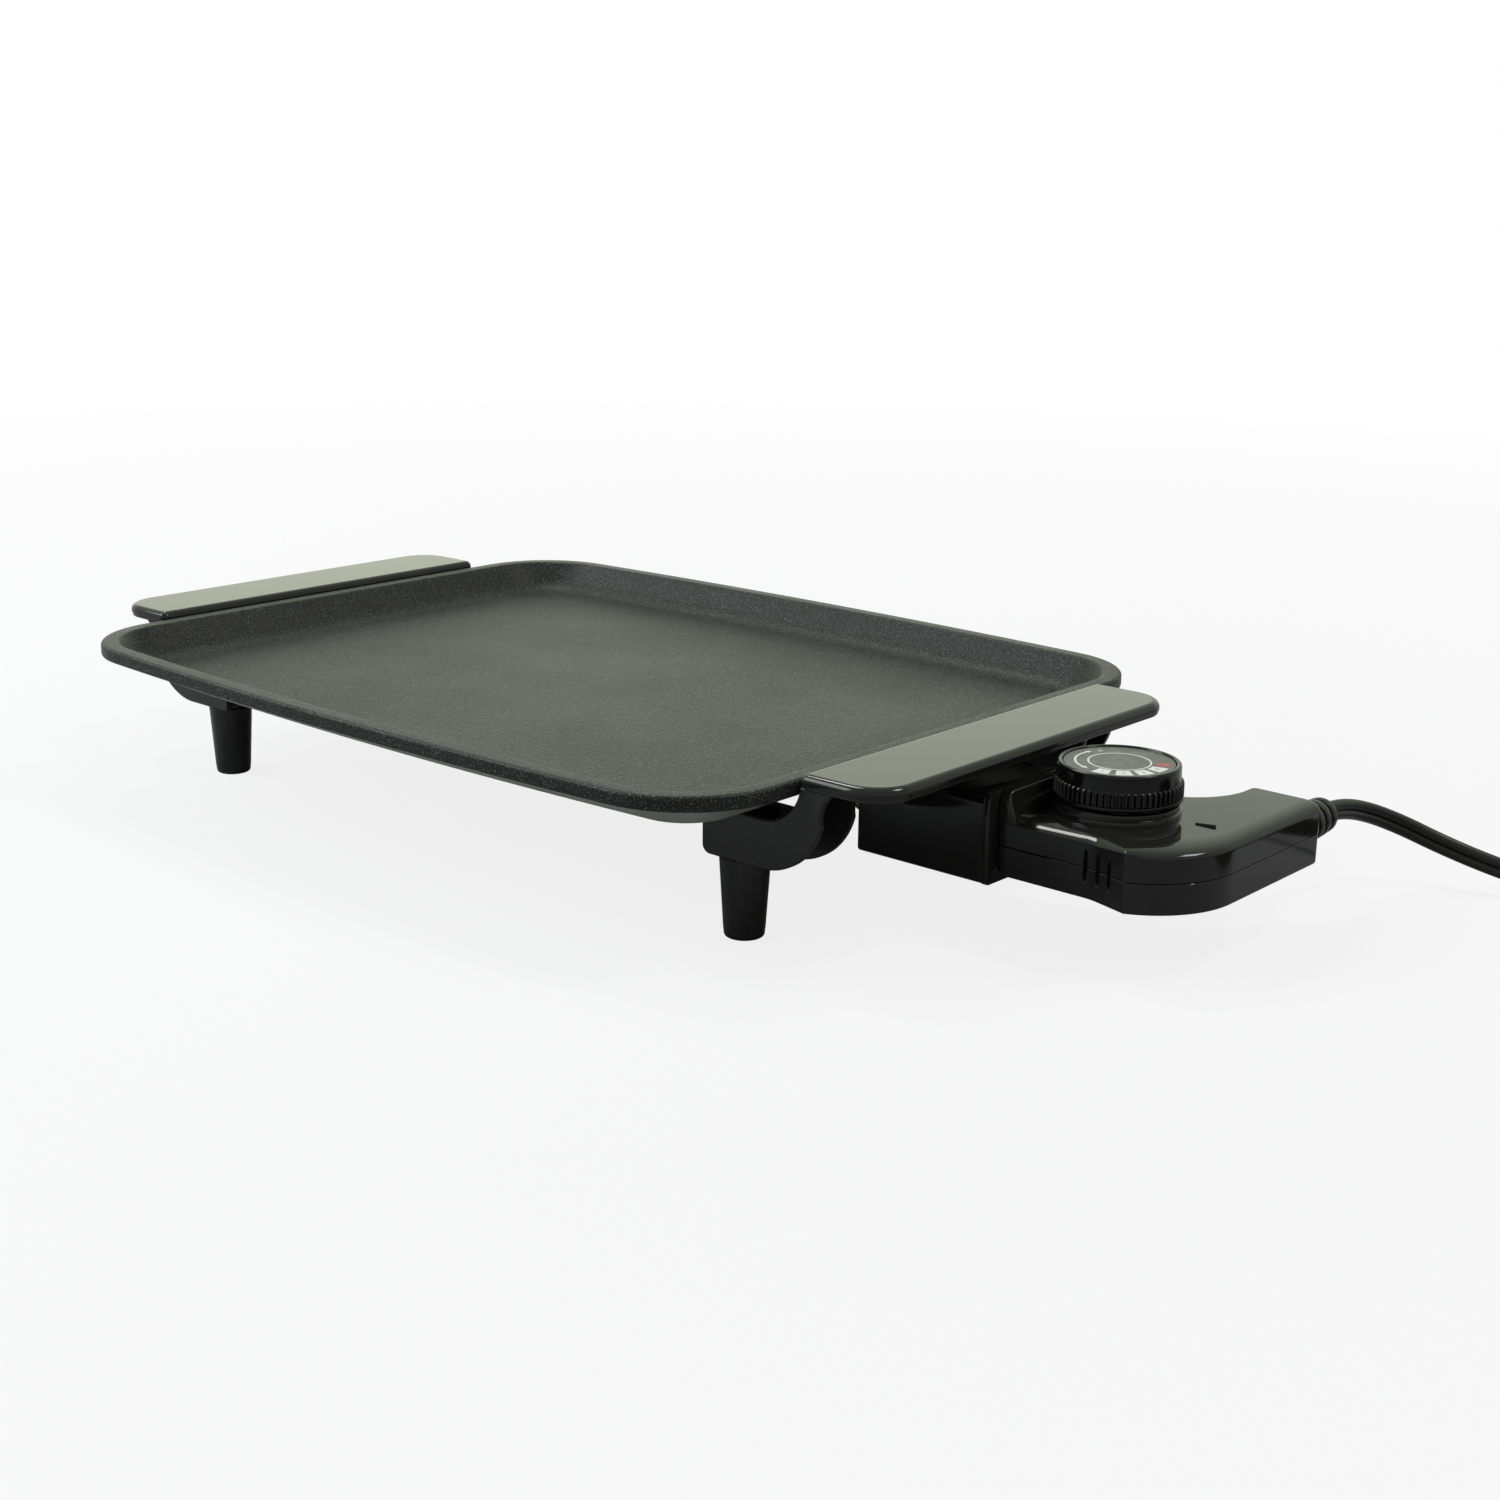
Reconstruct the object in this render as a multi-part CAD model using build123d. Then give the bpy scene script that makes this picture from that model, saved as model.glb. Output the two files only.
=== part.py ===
"""Electric griddle: cast plate on four legs, two handles, a pull-out thermostat control and its lead.

Millimetres, +Z up, +X towards the control. Every piece is drawn about the middle of the plate and
moved along X at the end, so that the origin lies under the middle of the whole appliance.
"""
from build123d import *
from math import atan2, cos, pi, radians, sin, sqrt, tan
import os

# Plate
plate_length = 400.0
plate_width = 320.0
side_bow_radius = 2300.0
corner_radius = 44.5
rim_top = 71.7
rim_width = 8.0
lip_height = 5.8
lip_depth = 2.5
pan_depth = 14.2
wall_run = 17.0
floor_thickness = 3.5
boss_drop = 4.0

# Handles
handle_gap = 1.5
handle_width = 39.5
handle_length = 198.6
handle_top = 74.5
cover_height = 4.2
cover_edge_radius = 3.0
cover_wall = 3.0
cover_pocket = 1.6
deck_thickness = 1.4
deck_inset = 0.5
handle_corner = 17.5
inner_corner = 2.5

# Handle arms, seen along Y
arm_width = 21.4
arm_wall = 2.6
arm_web = 3.2
arm_bottom = 33.4
bracket_top = 53.2
bracket_length = 33.0
arm_outer_radius = 30.0
arm_inner_radius = 18.0
post_diameter = 11.0

# Legs
leg_inset = 33.8
leg_end_inset = 11.5
foot_diameter = 16.0
leg_diameter = 20.4
foot_edge = 1.2
boss_diameter = 14.0
screw_head_depth = 22.0

# Screws
screw_diameter = 3.1
screw_head = 6.4
screw_head_height = 2.4
thread_clearance = 0.05
hole_clearance = 0.5

# Heating element
element_diameter = 7.4
element_pitch = 26.0
element_front_inset = 100.0
element_dip_back = 20.6
element_dip_run = 24.0
element_dip_bend = 14.0
element_back_inset = 60.0
element_side_inset = 74.0
element_bend = 30.0
pin_diameter = 4.6
pin_z = 36.0
pin_reach = 42.0
bead_length = 5.0
clip_width = 12.0
clip_thickness = 1.2

# Socket
socket_half_width = 29.6
socket_overlap = 25.4
socket_reach = 38.8
socket_bottom = 22.7
socket_top = 55.9
socket_low_top = 52.6
socket_step_back = 3.0
socket_wall = 2.5
flange_thickness = 3.3
flange_rise = 4.3
flange_lap = 0.6

# Control housing
control_gap = 0.4
control_bottom = 26.0
control_top = 51.0
parting_z = 38.2
nose_half_width = 24.4
nose_length = 41.8
flare_length = 17.6
flare_width = 5.1
elbow_reach = 24.0
tail_width = 30.6
tail_end_y = 76.0
elbow_radius = 42.0
elbow_centre_y = 8.0
body_far_y = 39.5
elbow_inner_radius = 30.0
shell_wall = 2.2
top_edge_rise = 3.6
top_edge_run = 8.0
nose_edge_run = 1.5
elbow_edge_run = 11.0
guard_height = 9.0
guard_base = 6.5
guard_crest = 2.2
insert_clearance = 0.5
insert_reach = 26.0
insert_back = 9.0
sleeve_wall = 1.2
sleeve_clearance = 0.1
slot_height = 13.0
slot_radius = 2.0
slot_depth = 0.8

# Sensor probe and switch
probe_diameter = 6.0
probe_z = 44.0
probe_tip_reach = 14.6
probe_clearance = 0.25
probe_boss_length = 24.0
probe_boss_wall = 3.2
switch_plate = 2.0
leaf_thickness = 0.6
leaf_width = 8.0
leaf_gap = 2.6

# Dial
dial_setback = 29.8
dial_y = 11.3
knob_bottom = 56.6
knob_skirt_height = 7.8
knob_height = 14.0
knob_skirt_diameter = 50.0
knob_top_diameter = 47.2
knob_ribs = 60
knob_rib_depth = 0.5
knob_wall = 2.4
dial_recess = 1.2
dial_plate_thickness = 0.6
dial_plate_diameter = 42.6
collar_diameter = 49.2
collar_height = 4.6
collar_wall = 3.0
spindle_diameter = 6.0
bush_diameter = 10.0
running_clearance = 0.05

# Lead
cord_diameter = 8.6
cord_inset = 11.6
cord_z = 38.2
boot_length = 24.5
boot_root_diameter = 17.4
boot_tip_diameter = 14.6
boot_neck_diameter = 12.6
boot_flange_diameter = 17.4
boot_flange_length = 3.0
boot_groove = 1.0
boot_grooves = 3
wire_diameter = 2.4
wire_bend = 4.0
coil_radius = 54.0
coil_pitch = 9.6
coil_lift = 9.2
coil_rest = 5.8
coil_turns_per_layer = 1.75
coil_tail = 34.0
tie_width = 9.0
tie_thickness = 0.9
tie_gap = 0.3
plug_length = 32.0
plug_width = 28.0
plug_corner = 5.0
plug_boot_length = 16.0
blade_length = 16.0
blade_width = 6.4
blade_thickness = 1.5
blade_spacing = 12.7
seat_gap = 0.2

# Heights and places that follow
pan_floor = rim_top - pan_depth
plate_underside = pan_floor - floor_thickness
lip_bottom = rim_top - lip_height
leg_x = plate_length / 2 - leg_inset
leg_y = handle_length / 2 - leg_end_inset
element_front = plate_length / 2 - element_front_inset
element_back = element_back_inset - plate_length / 2
element_half_width = plate_width / 2 - element_side_inset
socket_left = plate_length / 2 - socket_overlap
socket_right = plate_length / 2 + socket_reach
socket_step_x = plate_length / 2 - socket_step_back
element_dip_x = socket_left - element_dip_back
probe_tip = socket_left - probe_tip_reach
handle_inner_x = plate_length / 2 + handle_gap
handle_outer_x = handle_inner_x + handle_width
cover_bottom = handle_top - cover_height
deck_bottom = cover_bottom - deck_thickness
boss_bottom = plate_underside - boss_drop
nose_x = socket_right + control_gap
nose_straight = nose_x + nose_length
elbow_corner_x = nose_straight + flare_length
elbow_corner_y = -nose_half_width - flare_width
control_outer_x = elbow_corner_x + elbow_reach
dial_x = nose_x + dial_setback
cord_x = control_outer_x - cord_inset
frame_shift = -(control_outer_x - handle_outer_x) / 2
element_z = plate_underside - element_diameter / 2 - 0.1
tube_end_x = socket_left + 8.0
pin_end_x = tube_end_x + pin_reach
insert_front_x = nose_x - insert_reach
insert_rear_x = nose_x + insert_back
tail_inner_x = control_outer_x - tail_width
cavity_floor = control_bottom + shell_wall
cavity_roof = control_top - shell_wall
cord_start_y = tail_end_y + boot_length
plug_half_height = coil_rest + coil_lift

# The lead's free stretch from the end of its boot: how far over and back, and the share of its height left
cord_run = [
    (0.0, 0.0, 1.0),
    (0.0, 10.0, 1.0),
    (2.5, 29.5, 0.87),
    (12.0, 45.5, 0.64),
    (27.0, 56.0, 0.38),
    (47.5, 61.5, 0.19),
    (72.5, 65.5, 0.06),
    (100.0, 68.5, 0.0),
    (128.0, 71.0, 0.0),
]
cord_route = [(cord_x + over, cord_start_y + back, coil_rest + share * (cord_z - coil_rest))
              for over, back, share in cord_run]

os.makedirs("parts", exist_ok=True)


# Small shapes
def block(x0, x1, y0, y1, z0, z1):
    middle = ((x0 + x1) / 2, (y0 + y1) / 2, (z0 + z1) / 2)
    return Pos(*middle) * Box(x1 - x0, y1 - y0, z1 - z0)


def post(x, y, z0, z1, diameter):
    return Pos(x, y, (z0 + z1) / 2) * Cylinder(diameter / 2, z1 - z0)


def rod(x0, x1, y, z, diameter):
    return Pos((x0 + x1) / 2, y, z) * Rot(0, 90, 0) * Cylinder(diameter / 2, x1 - x0)


def rod_along_y(x, y0, y1, z, diameter):
    return Pos(x, (y0 + y1) / 2, z) * Rot(90, 0, 0) * Cylinder(diameter / 2, y1 - y0)


def swept_tube(path, diameter):
    return sweep(Plane(path @ 0, z_dir=path % 0) * Circle(diameter / 2), path=path)


def screw_up(x, y, seat_z, tip_z):
    shank = post(x, y, seat_z, tip_z, screw_diameter)
    head = post(x, y, seat_z - screw_head_height, seat_z, screw_head)
    slot = block(x - 0.5, x + 0.5, y - screw_head, y + screw_head, seat_z - screw_head_height,
                 seat_z - screw_head_height + 0.8)
    return shank + (head - slot)


def save(node, *solids):
    shape = solids[0] if len(solids) == 1 else Compound(children=list(solids))
    export_step(Pos(frame_shift, 0, 0) * shape, f"parts/{node}.step")


def both_ends(shape):
    return mirror(shape, Plane.YZ)


# Plate
def plate_outline(inset):
    """Rounded rectangle with long sides bowed outwards, all of it moved in by the inset."""
    half_length = plate_length / 2 - inset
    centre_x = plate_length / 2 - corner_radius
    bow_y = plate_width / 2 - side_bow_radius
    reach = side_bow_radius - corner_radius
    centre_y = bow_y + sqrt(reach**2 - centre_x**2)
    radius = corner_radius - inset
    lean = Vector(centre_x, centre_y - bow_y) / reach
    halfway = (lean + Vector(1, 0)).normalized()

    def corner(sx, sy):
        centre = Vector(sx * centre_x, sy * centre_y)
        end = centre + Vector(sx * lean.X, sy * lean.Y) * radius
        middle = centre + Vector(sx * halfway.X, sy * halfway.Y) * radius
        start = Vector(sx * half_length, sy * centre_y)
        return start, middle, end

    a, b, c, d = corner(1, 1), corner(-1, 1), corner(-1, -1), corner(1, -1)
    crown = plate_width / 2 - inset
    return make_face([
        ThreePointArc(*a),
        ThreePointArc(a[2], (0, crown), b[2]),
        ThreePointArc(b[2], b[1], b[0]),
        Line(b[0], c[0]),
        ThreePointArc(*c),
        ThreePointArc(c[2], (0, -crown), d[2]),
        ThreePointArc(d[2], d[1], d[0]),
        Line(d[0], a[0]),
    ])


def stacked(outline, steps):
    """Solid through a list of (inset, height) outlines, ruled from each to the next."""
    layers = []
    for (inset_a, z_a), (inset_b, z_b) in zip(steps, steps[1:]):
        if inset_a == inset_b:
            layers.append(extrude(Pos(0, 0, z_a) * outline(inset_a), z_b - z_a, dir=(0, 0, 1)))
        else:
            layers.append(loft([Pos(0, 0, z_a) * outline(inset_a), Pos(0, 0, z_b) * outline(inset_b)], ruled=True))
    solid = layers[0]
    for layer in layers[1:]:
        solid += layer
    return solid


def pan_steps():
    """Inner wall: a steep flank, then a round hollow that runs out level on the floor."""
    flank_run = wall_run * 0.41
    flank_drop = pan_depth * 0.7
    steps = [(rim_width, rim_top)]
    foot = rim_top - flank_drop
    for share in (0.0, 0.25, 0.5, 0.75, 1.0):
        fall = 1 - (1 - share)**2
        steps.append((rim_width + flank_run + share * (wall_run - flank_run), foot - fall * (foot - pan_floor)))
    return steps


def leg_places():
    return [(sx * leg_x, sy * leg_y) for sx in (-1, 1) for sy in (-1, 1)]


def socket_screw_places():
    return [(socket_left + 10.5, sy * (socket_half_width - 7.5)) for sy in (-1, 1)]


def griddle_plate():
    belly_inset = rim_width + wall_run
    belly_mid = (lip_bottom - 1.0 + plate_underside) / 2 - 0.7
    outside = stacked(plate_outline, [
        (belly_inset, plate_underside),
        (belly_inset * 0.62, belly_mid),
        (lip_depth, lip_bottom - 1.0),
        (0.0, lip_bottom),
        (0.0, rim_top),
    ])
    body = outside - stacked(plate_outline, pan_steps())
    for x, y in leg_places():
        body += post(x, y, boss_bottom, plate_underside + 1.0, boss_diameter)
    for x, y in socket_screw_places():
        body += post(x, y, socket_low_top, lip_bottom - 5.0, screw_head + 4.0)
    probe_boss = probe_diameter + 2 * probe_boss_wall
    boss_end = socket_left - 0.3
    body += block(boss_end - probe_boss_length, boss_end, -probe_boss / 2, probe_boss / 2,
                  probe_z - probe_boss / 2, plate_underside + 1.0)
    body -= rod(boss_end - probe_boss_length + 4.0, boss_end, 0, probe_z, probe_diameter + 2 * probe_clearance)
    thread = screw_diameter + 2 * thread_clearance
    for x, y in leg_places():
        body -= post(x, y, boss_bottom, plate_underside + 1.2, thread)
    for x, y in socket_screw_places():
        body -= post(x, y, socket_low_top, socket_low_top + 5.0, thread)
    for x, y in clip_places():
        for sy in (-1, 1):
            body -= post(x, y + sy * clip_screw_offset, plate_underside, plate_underside + 1.8, thread)
    edge = body.edges().filter_by_position(Axis.Z, rim_top - 0.01, rim_top + 0.01)
    return fillet(edge, 1.0)


# Heating element
clip_screw_offset = element_diameter / 2 + 5.0


def element_path():
    half = element_pitch / 2
    points = []
    for sy in (-1, 1):
        arm = [
            (tube_end_x, sy * half, pin_z),
            (element_dip_x + element_dip_run / 2, sy * half, pin_z),
            (element_dip_x - element_dip_run / 2, sy * half, element_z),
            (element_front, sy * half, element_z),
            (element_front, sy * element_half_width, element_z),
            (element_back, sy * element_half_width, element_z),
        ]
        points += arm if sy < 0 else arm[::-1]
    bends = 2 * [element_dip_bend] + 3 * [element_bend]
    return FilletPolyline(*points, radius=bends + bends[::-1])


def clip_places():
    ends = (element_back + element_bend + 5.0, element_front - element_bend - 15.0)
    return [(x, sy * element_half_width) for x in (ends[0], sum(ends) / 2, ends[1]) for sy in (-1, 1)]


def element_clip(x, y):
    """Strap under the tube, with a foot on the plate at each side."""
    inside = element_diameter / 2 + 0.1
    outside = inside + clip_thickness
    low = element_z - outside
    hood = block(x - clip_width / 2, x + clip_width / 2, y - outside, y + outside, low, plate_underside)
    hood -= block(x - clip_width, x + clip_width, y - inside, y + inside, element_z - inside, plate_underside)
    for sy in (-1, 1):
        near = y + sy * outside
        far = y + sy * (clip_screw_offset + 5.0)
        foot = block(x - clip_width / 2, x + clip_width / 2, min(near, far), max(near, far),
                     plate_underside - clip_thickness, plate_underside)
        hood += foot - post(x, y + sy * clip_screw_offset, plate_underside - 5, plate_underside + 5,
                            screw_diameter + hole_clearance)
    return hood


# Handles
def handle_outline(inset):
    """Long plate with two large corners on its outer side and two small ones beside the pan."""
    x0 = handle_inner_x + inset
    x1 = handle_outer_x - inset
    half = handle_length / 2 - inset
    face = Pos((x0 + x1) / 2, 0) * Rectangle(x1 - x0, 2 * half)
    outer = face.vertices().group_by(Axis.X)[-1]
    face = fillet(outer, handle_corner - inset)
    inner = face.vertices().group_by(Axis.X)[0]
    return fillet(inner, max(inner_corner - inset, 0.5))


def cover_screw_places():
    x = (handle_inner_x + handle_outer_x) / 2
    return [(x, share * handle_length) for share in (-0.312, -0.222, 0.222, 0.312)]


def handle_cover():
    body = extrude(Pos(0, 0, cover_bottom) * handle_outline(0), cover_height)
    rim = body.edges().filter_by_position(Axis.Z, handle_top - 0.01, handle_top + 0.01)
    body = fillet(rim, cover_edge_radius)
    body -= extrude(Pos(0, 0, cover_bottom) * handle_outline(cover_wall), cover_pocket)
    for x, y in cover_screw_places():
        body += post(x, y, cover_bottom, cover_bottom + cover_pocket, screw_head)
        body -= post(x, y, cover_bottom, cover_bottom + 3.0, screw_diameter + 2 * thread_clearance)
    return body


def arm_profile():
    """S-shaped side of an arm: bracket under the plate, sweep up past the rim, foot of the handle."""
    left = leg_x - bracket_length / 2 + 4.0
    inner_x = handle_inner_x + 0.3 - arm_inner_radius
    inner_z = bracket_top + arm_inner_radius
    rise = inner_z - deck_bottom
    inner_end = (inner_x + sqrt(arm_inner_radius**2 - rise**2), deck_bottom)
    inner_mid = (inner_x + arm_inner_radius * sin(radians(45)), inner_z - arm_inner_radius * cos(radians(45)))
    outer_x = inner_x - 1.0
    outer_z = arm_bottom + arm_outer_radius
    turn = radians(74)
    outer_end = (outer_x + arm_outer_radius * sin(turn), outer_z - arm_outer_radius * cos(turn))
    outer_mid = (outer_x + arm_outer_radius * sin(turn / 2), outer_z - arm_outer_radius * cos(turn / 2))
    foot = (inner_end[0] + 18.5, deck_bottom)
    flare = ((outer_end[0] + foot[0]) / 2 - 0.9, (outer_end[1] + deck_bottom) / 2 + 0.4)
    edges = [
        Line((left, bracket_top), (left, arm_bottom + 3.0)),
        ThreePointArc((left, arm_bottom + 3.0), (left + 0.9, arm_bottom + 0.9), (left + 3.0, arm_bottom)),
        Line((left + 3.0, arm_bottom), (outer_x, arm_bottom)),
        ThreePointArc((outer_x, arm_bottom), outer_mid, outer_end),
        ThreePointArc(outer_end, flare, foot),
        Line(foot, inner_end),
        ThreePointArc(inner_end, inner_mid, (inner_x, bracket_top)),
        Line((inner_x, bracket_top), (left, bracket_top)),
    ]
    return make_face(edges), left


def handle_arm(y):
    """Channel of two S-shaped walls and the web that follows their upper edge, with a screw post."""
    side, left = arm_profile()
    upright = Plane(origin=(0, y, 0), x_dir=(1, 0, 0), z_dir=(0, -1, 0))
    full = extrude(upright * side, arm_width / 2, both=True)
    hollow = Pos(arm_web, 0, -arm_web) * extrude(upright * side, arm_width / 2 - arm_wall, both=True)
    arm = full - hollow
    arm += block(left + 1.0, leg_x + leg_diameter / 2, y - arm_width / 2 + 1.0, y + arm_width / 2 - 1.0,
                 arm_bottom, arm_bottom + arm_web)
    arm += post(leg_x, y, arm_bottom, boss_bottom, post_diameter)
    arm -= post(leg_x, y, boss_bottom, bracket_top + 1.0, boss_diameter + 1.0)
    arm -= post(leg_x, y, arm_bottom - 1.0, boss_bottom + 1.0, screw_diameter + hole_clearance)
    return arm


def handle_frame():
    deck = extrude(Pos(0, 0, deck_bottom) * handle_outline(deck_inset), deck_thickness)
    for x, y in cover_screw_places():
        deck -= post(x, y, deck_bottom - 1.0, cover_bottom + 1.0, screw_diameter + hole_clearance)
    for sy in (-1, 1):
        deck += handle_arm(sy * leg_y)
    return deck


def handle_screws():
    return [screw_up(x, y, deck_bottom, cover_bottom + 2.8) for x, y in cover_screw_places()]


# Legs
def leg(x, y):
    """Tapered round post on a flat foot, bored from below for its screw."""
    r_foot = foot_diameter / 2
    profile = make_face(Polyline(
        (0, 0), (r_foot - foot_edge, 0), (r_foot, foot_edge), (leg_diameter / 2, arm_bottom), (0, arm_bottom),
        close=True))
    body = revolve(Plane.XZ * profile, Axis.Z)
    body -= post(0, 0, 0, screw_head_depth, screw_head + 2 * hole_clearance)
    body -= post(0, 0, screw_head_depth, arm_bottom, screw_diameter + hole_clearance)
    return Pos(x, y, 0) * body


# Socket
def socket_housing():
    """Box under the rim, open towards the control, with a raised flange round its mouth."""
    w = socket_half_width
    t = socket_wall
    box_end = socket_right - flange_thickness
    body = block(socket_left, box_end, -w, w, socket_bottom, socket_low_top)
    body += block(socket_step_x, box_end, -w, w, socket_bottom, socket_top)
    body += block(box_end, socket_right, -w - flange_lap, w + flange_lap, socket_bottom, socket_top + flange_rise)
    upright = body.edges().filter_by(Axis.X).group_by(Axis.Z)[-1]
    body = fillet(upright, 2.5)
    body -= block(socket_left + t, socket_right, -w + t, w - t, socket_bottom + t, socket_low_top - t)
    body -= block(socket_step_x + t, socket_right, -w + t, w - t, socket_bottom + t, socket_top - t)
    for sy in (-1, 1):
        body -= rod(socket_left, socket_left + t, sy * element_pitch / 2, pin_z, element_diameter + 0.2)
    body -= rod(socket_left, socket_left + t, 0, probe_z, probe_diameter + 2 * probe_clearance)
    for x, y in socket_screw_places():
        body -= post(x, y, socket_low_top - t, socket_low_top, screw_diameter + hole_clearance)
    return body


# Control housing
def control_outline(inset, nose_inset=None, elbow_inset=None):
    """L seen from above: nose at the socket, round elbow under the dial, tail towards +Y.

    The whole outline moves in by the inset, unless the nose's sides or the elbow have their own.
    """
    nose_inset = inset if nose_inset is None else nose_inset
    elbow_inset = inset if elbow_inset is None else elbow_inset
    x0 = nose_x + nose_inset
    y0 = -nose_half_width + nose_inset
    corner = (elbow_corner_x - inset * 0.8, elbow_corner_y + inset)
    x1 = control_outer_x - inset
    end_y = tail_end_y - inset
    arc_end = (x1, elbow_centre_y + 2 * (elbow_inset - inset))
    centre = (control_outer_x - elbow_radius, elbow_centre_y)
    corner_turn = atan2(elbow_corner_x - centre[0], centre[1] - elbow_corner_y)
    half_turn = (corner_turn + pi / 2) / 2
    reach = elbow_radius - elbow_inset
    bulge = (centre[0] + reach * sin(half_turn), centre[1] - reach * cos(half_turn))
    swing = radians(45)
    tail_x = tail_inner_x + inset
    far_y = body_far_y - inset
    bend = elbow_inner_radius + inset
    bend_centre = (tail_inner_x - elbow_inner_radius, body_far_y + elbow_inner_radius)
    bend_mid = (bend_centre[0] + bend * sin(swing), bend_centre[1] - bend * cos(swing))
    shoulder = (bend_centre[0] - 9.0, far_y)
    return make_face([
        Line((x0, y0), (nose_straight, y0)),
        Line((nose_straight, y0), corner),
        ThreePointArc(corner, bulge, arc_end),
        Line(arc_end, (x1, end_y)),
        Line((x1, end_y), (tail_x, end_y)),
        Line((tail_x, end_y), (tail_x, bend_centre[1])),
        ThreePointArc((tail_x, bend_centre[1]), bend_mid, (bend_centre[0], far_y)),
        Line((bend_centre[0], far_y), shoulder),
        Line(shoulder, (nose_x + 5.0 + nose_inset * 0.5, -y0)),
        Line((nose_x + 5.0 + nose_inset * 0.5, -y0), (x0, -y0)),
        Line((x0, -y0), (x0, y0)),
    ])


def crown_outline(share):
    """Outline part of the way over the rounded top edge, which is widest at the elbow."""
    return control_outline(share * top_edge_run, share * nose_edge_run, share * elbow_edge_run)


def shell_screw_places():
    return [
        (nose_x + 21.8, 6.2 - nose_half_width),
        (elbow_corner_x - 1.6, elbow_corner_y + 13.5),
        (tail_inner_x + 7.0, tail_end_y - 19.0),
        (nose_x + 22.8, body_far_y - 9.0),
    ]


def boot_hole():
    return rod_along_y(cord_x, tail_end_y - shell_wall - 1.0, tail_end_y + 1.0, cord_z,
                       boot_neck_diameter + 2 * running_clearance)


def nose_window():
    """Opening in the nose through which the insert reaches the socket."""
    return block(nose_x - 1.0, nose_x + shell_wall + 1.0, -nose_half_width + shell_wall,
                 nose_half_width - shell_wall, cavity_floor, cavity_roof)


def grip_slots():
    """Three upright finger grooves where the side leans out towards the elbow."""
    slots = []
    lean = (elbow_corner_y + nose_half_width) / (elbow_corner_x - nose_straight)
    for step in range(3):
        x = nose_straight + flare_length * (0.335 * step - 0.14)
        y = -nose_half_width + lean * max(x - nose_straight, 0.0)
        slots.append(Pos(x, y + slot_depth - slot_radius, parting_z + 0.4) * Cylinder(slot_radius, slot_height))
    return slots


def control_top_shell():
    crown = [
        (0.0, parting_z),
        (0.0, control_top - top_edge_rise),
        (0.12, control_top - top_edge_rise * 0.55),
        (0.42, control_top - top_edge_rise * 0.18),
        (1.0, control_top),
    ]
    body = stacked(crown_outline, crown)
    guard = make_face(Polyline(
        (nose_x, control_top - top_edge_rise), (nose_x, control_top + guard_height),
        (nose_x + guard_crest, control_top + guard_height), (nose_x + guard_base, control_top),
        (nose_x + guard_base, control_top - top_edge_rise), close=True))
    upright = Plane(origin=(0, 0, 0), x_dir=(1, 0, 0), z_dir=(0, -1, 0))
    body += extrude(upright * guard, nose_half_width - 0.4, both=True)
    body += post(dial_x, dial_y, control_top - 1.0, control_top + collar_height, collar_diameter)
    body -= post(dial_x, dial_y, control_top, control_top + collar_height, collar_diameter - 2 * collar_wall)
    body -= extrude(Pos(0, 0, parting_z) * control_outline(shell_wall), cavity_roof - parting_z)
    body -= nose_window()
    body -= boot_hole()
    body -= post(dial_x, dial_y, cavity_roof - 1.0, control_top + 1.0, bush_diameter + 2 * running_clearance)
    for slot in grip_slots():
        body -= slot
    for x, y in shell_screw_places():
        body += post(x, y, parting_z, cavity_roof + 0.5, 7.0)
        body -= post(x, y, parting_z, cavity_roof - 1.0, screw_diameter + 2 * thread_clearance)
    return body


def control_bottom_shell():
    edge = [(1.6, control_bottom), (0.4, control_bottom + 0.9), (0.0, control_bottom + 2.4), (0.0, parting_z)]
    body = stacked(control_outline, edge)
    body -= extrude(Pos(0, 0, cavity_floor) * control_outline(shell_wall), parting_z - cavity_floor)
    body -= nose_window()
    body -= boot_hole()
    for slot in grip_slots():
        body -= slot
    for x, y in shell_screw_places():
        body += post(x, y, cavity_floor - 0.5, parting_z, 8.4)
        body -= post(x, y, control_bottom, control_bottom + 4.0, screw_head + hole_clearance)
        body -= post(x, y, control_bottom, parting_z, screw_diameter + hole_clearance)
    return body


def shell_screws():
    seat = control_bottom + 4.0
    return [screw_up(x, y, seat, cavity_roof - 2.0) for x, y in shell_screw_places()]


# Inside the control
sleeve_diameter = pin_diameter + 2 * (sleeve_clearance + sleeve_wall)


def nose_insert():
    """Insulating block that carries the two contact sleeves and lets the probe through."""
    half = nose_half_width - shell_wall - insert_clearance
    body = block(insert_front_x, insert_rear_x, -half, half, cavity_floor + insert_clearance,
                 cavity_roof - insert_clearance)
    body = fillet(body.edges().filter_by(Axis.X), 2.0)
    for sy in (-1, 1):
        body -= rod(insert_front_x, insert_rear_x, sy * element_pitch / 2, pin_z,
                    sleeve_diameter + 2 * running_clearance)
    body -= rod(insert_front_x, insert_rear_x, 0, probe_z, probe_diameter + 2 * running_clearance)
    return body


def contact_sleeves():
    sleeves = []
    for sy in (-1, 1):
        y = sy * element_pitch / 2
        sleeve = rod(insert_front_x, insert_rear_x + 2.0, y, pin_z, sleeve_diameter)
        bore = pin_diameter + 2 * sleeve_clearance
        sleeves.append(sleeve - rod(insert_front_x, pin_end_x + 2.0, y, pin_z, bore))
    return sleeves


def sensor_probe():
    """Closed steel tube that reaches through the socket into the plate's boss."""
    body = rod(probe_tip, insert_rear_x + 3.0, 0, probe_z, probe_diameter)
    tip = body.edges().group_by(Axis.X)[0]
    body = fillet(tip, probe_diameter * 0.35)
    return body + rod(insert_rear_x, insert_rear_x + 1.2, 0, probe_z, probe_diameter + 3.0)


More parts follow.
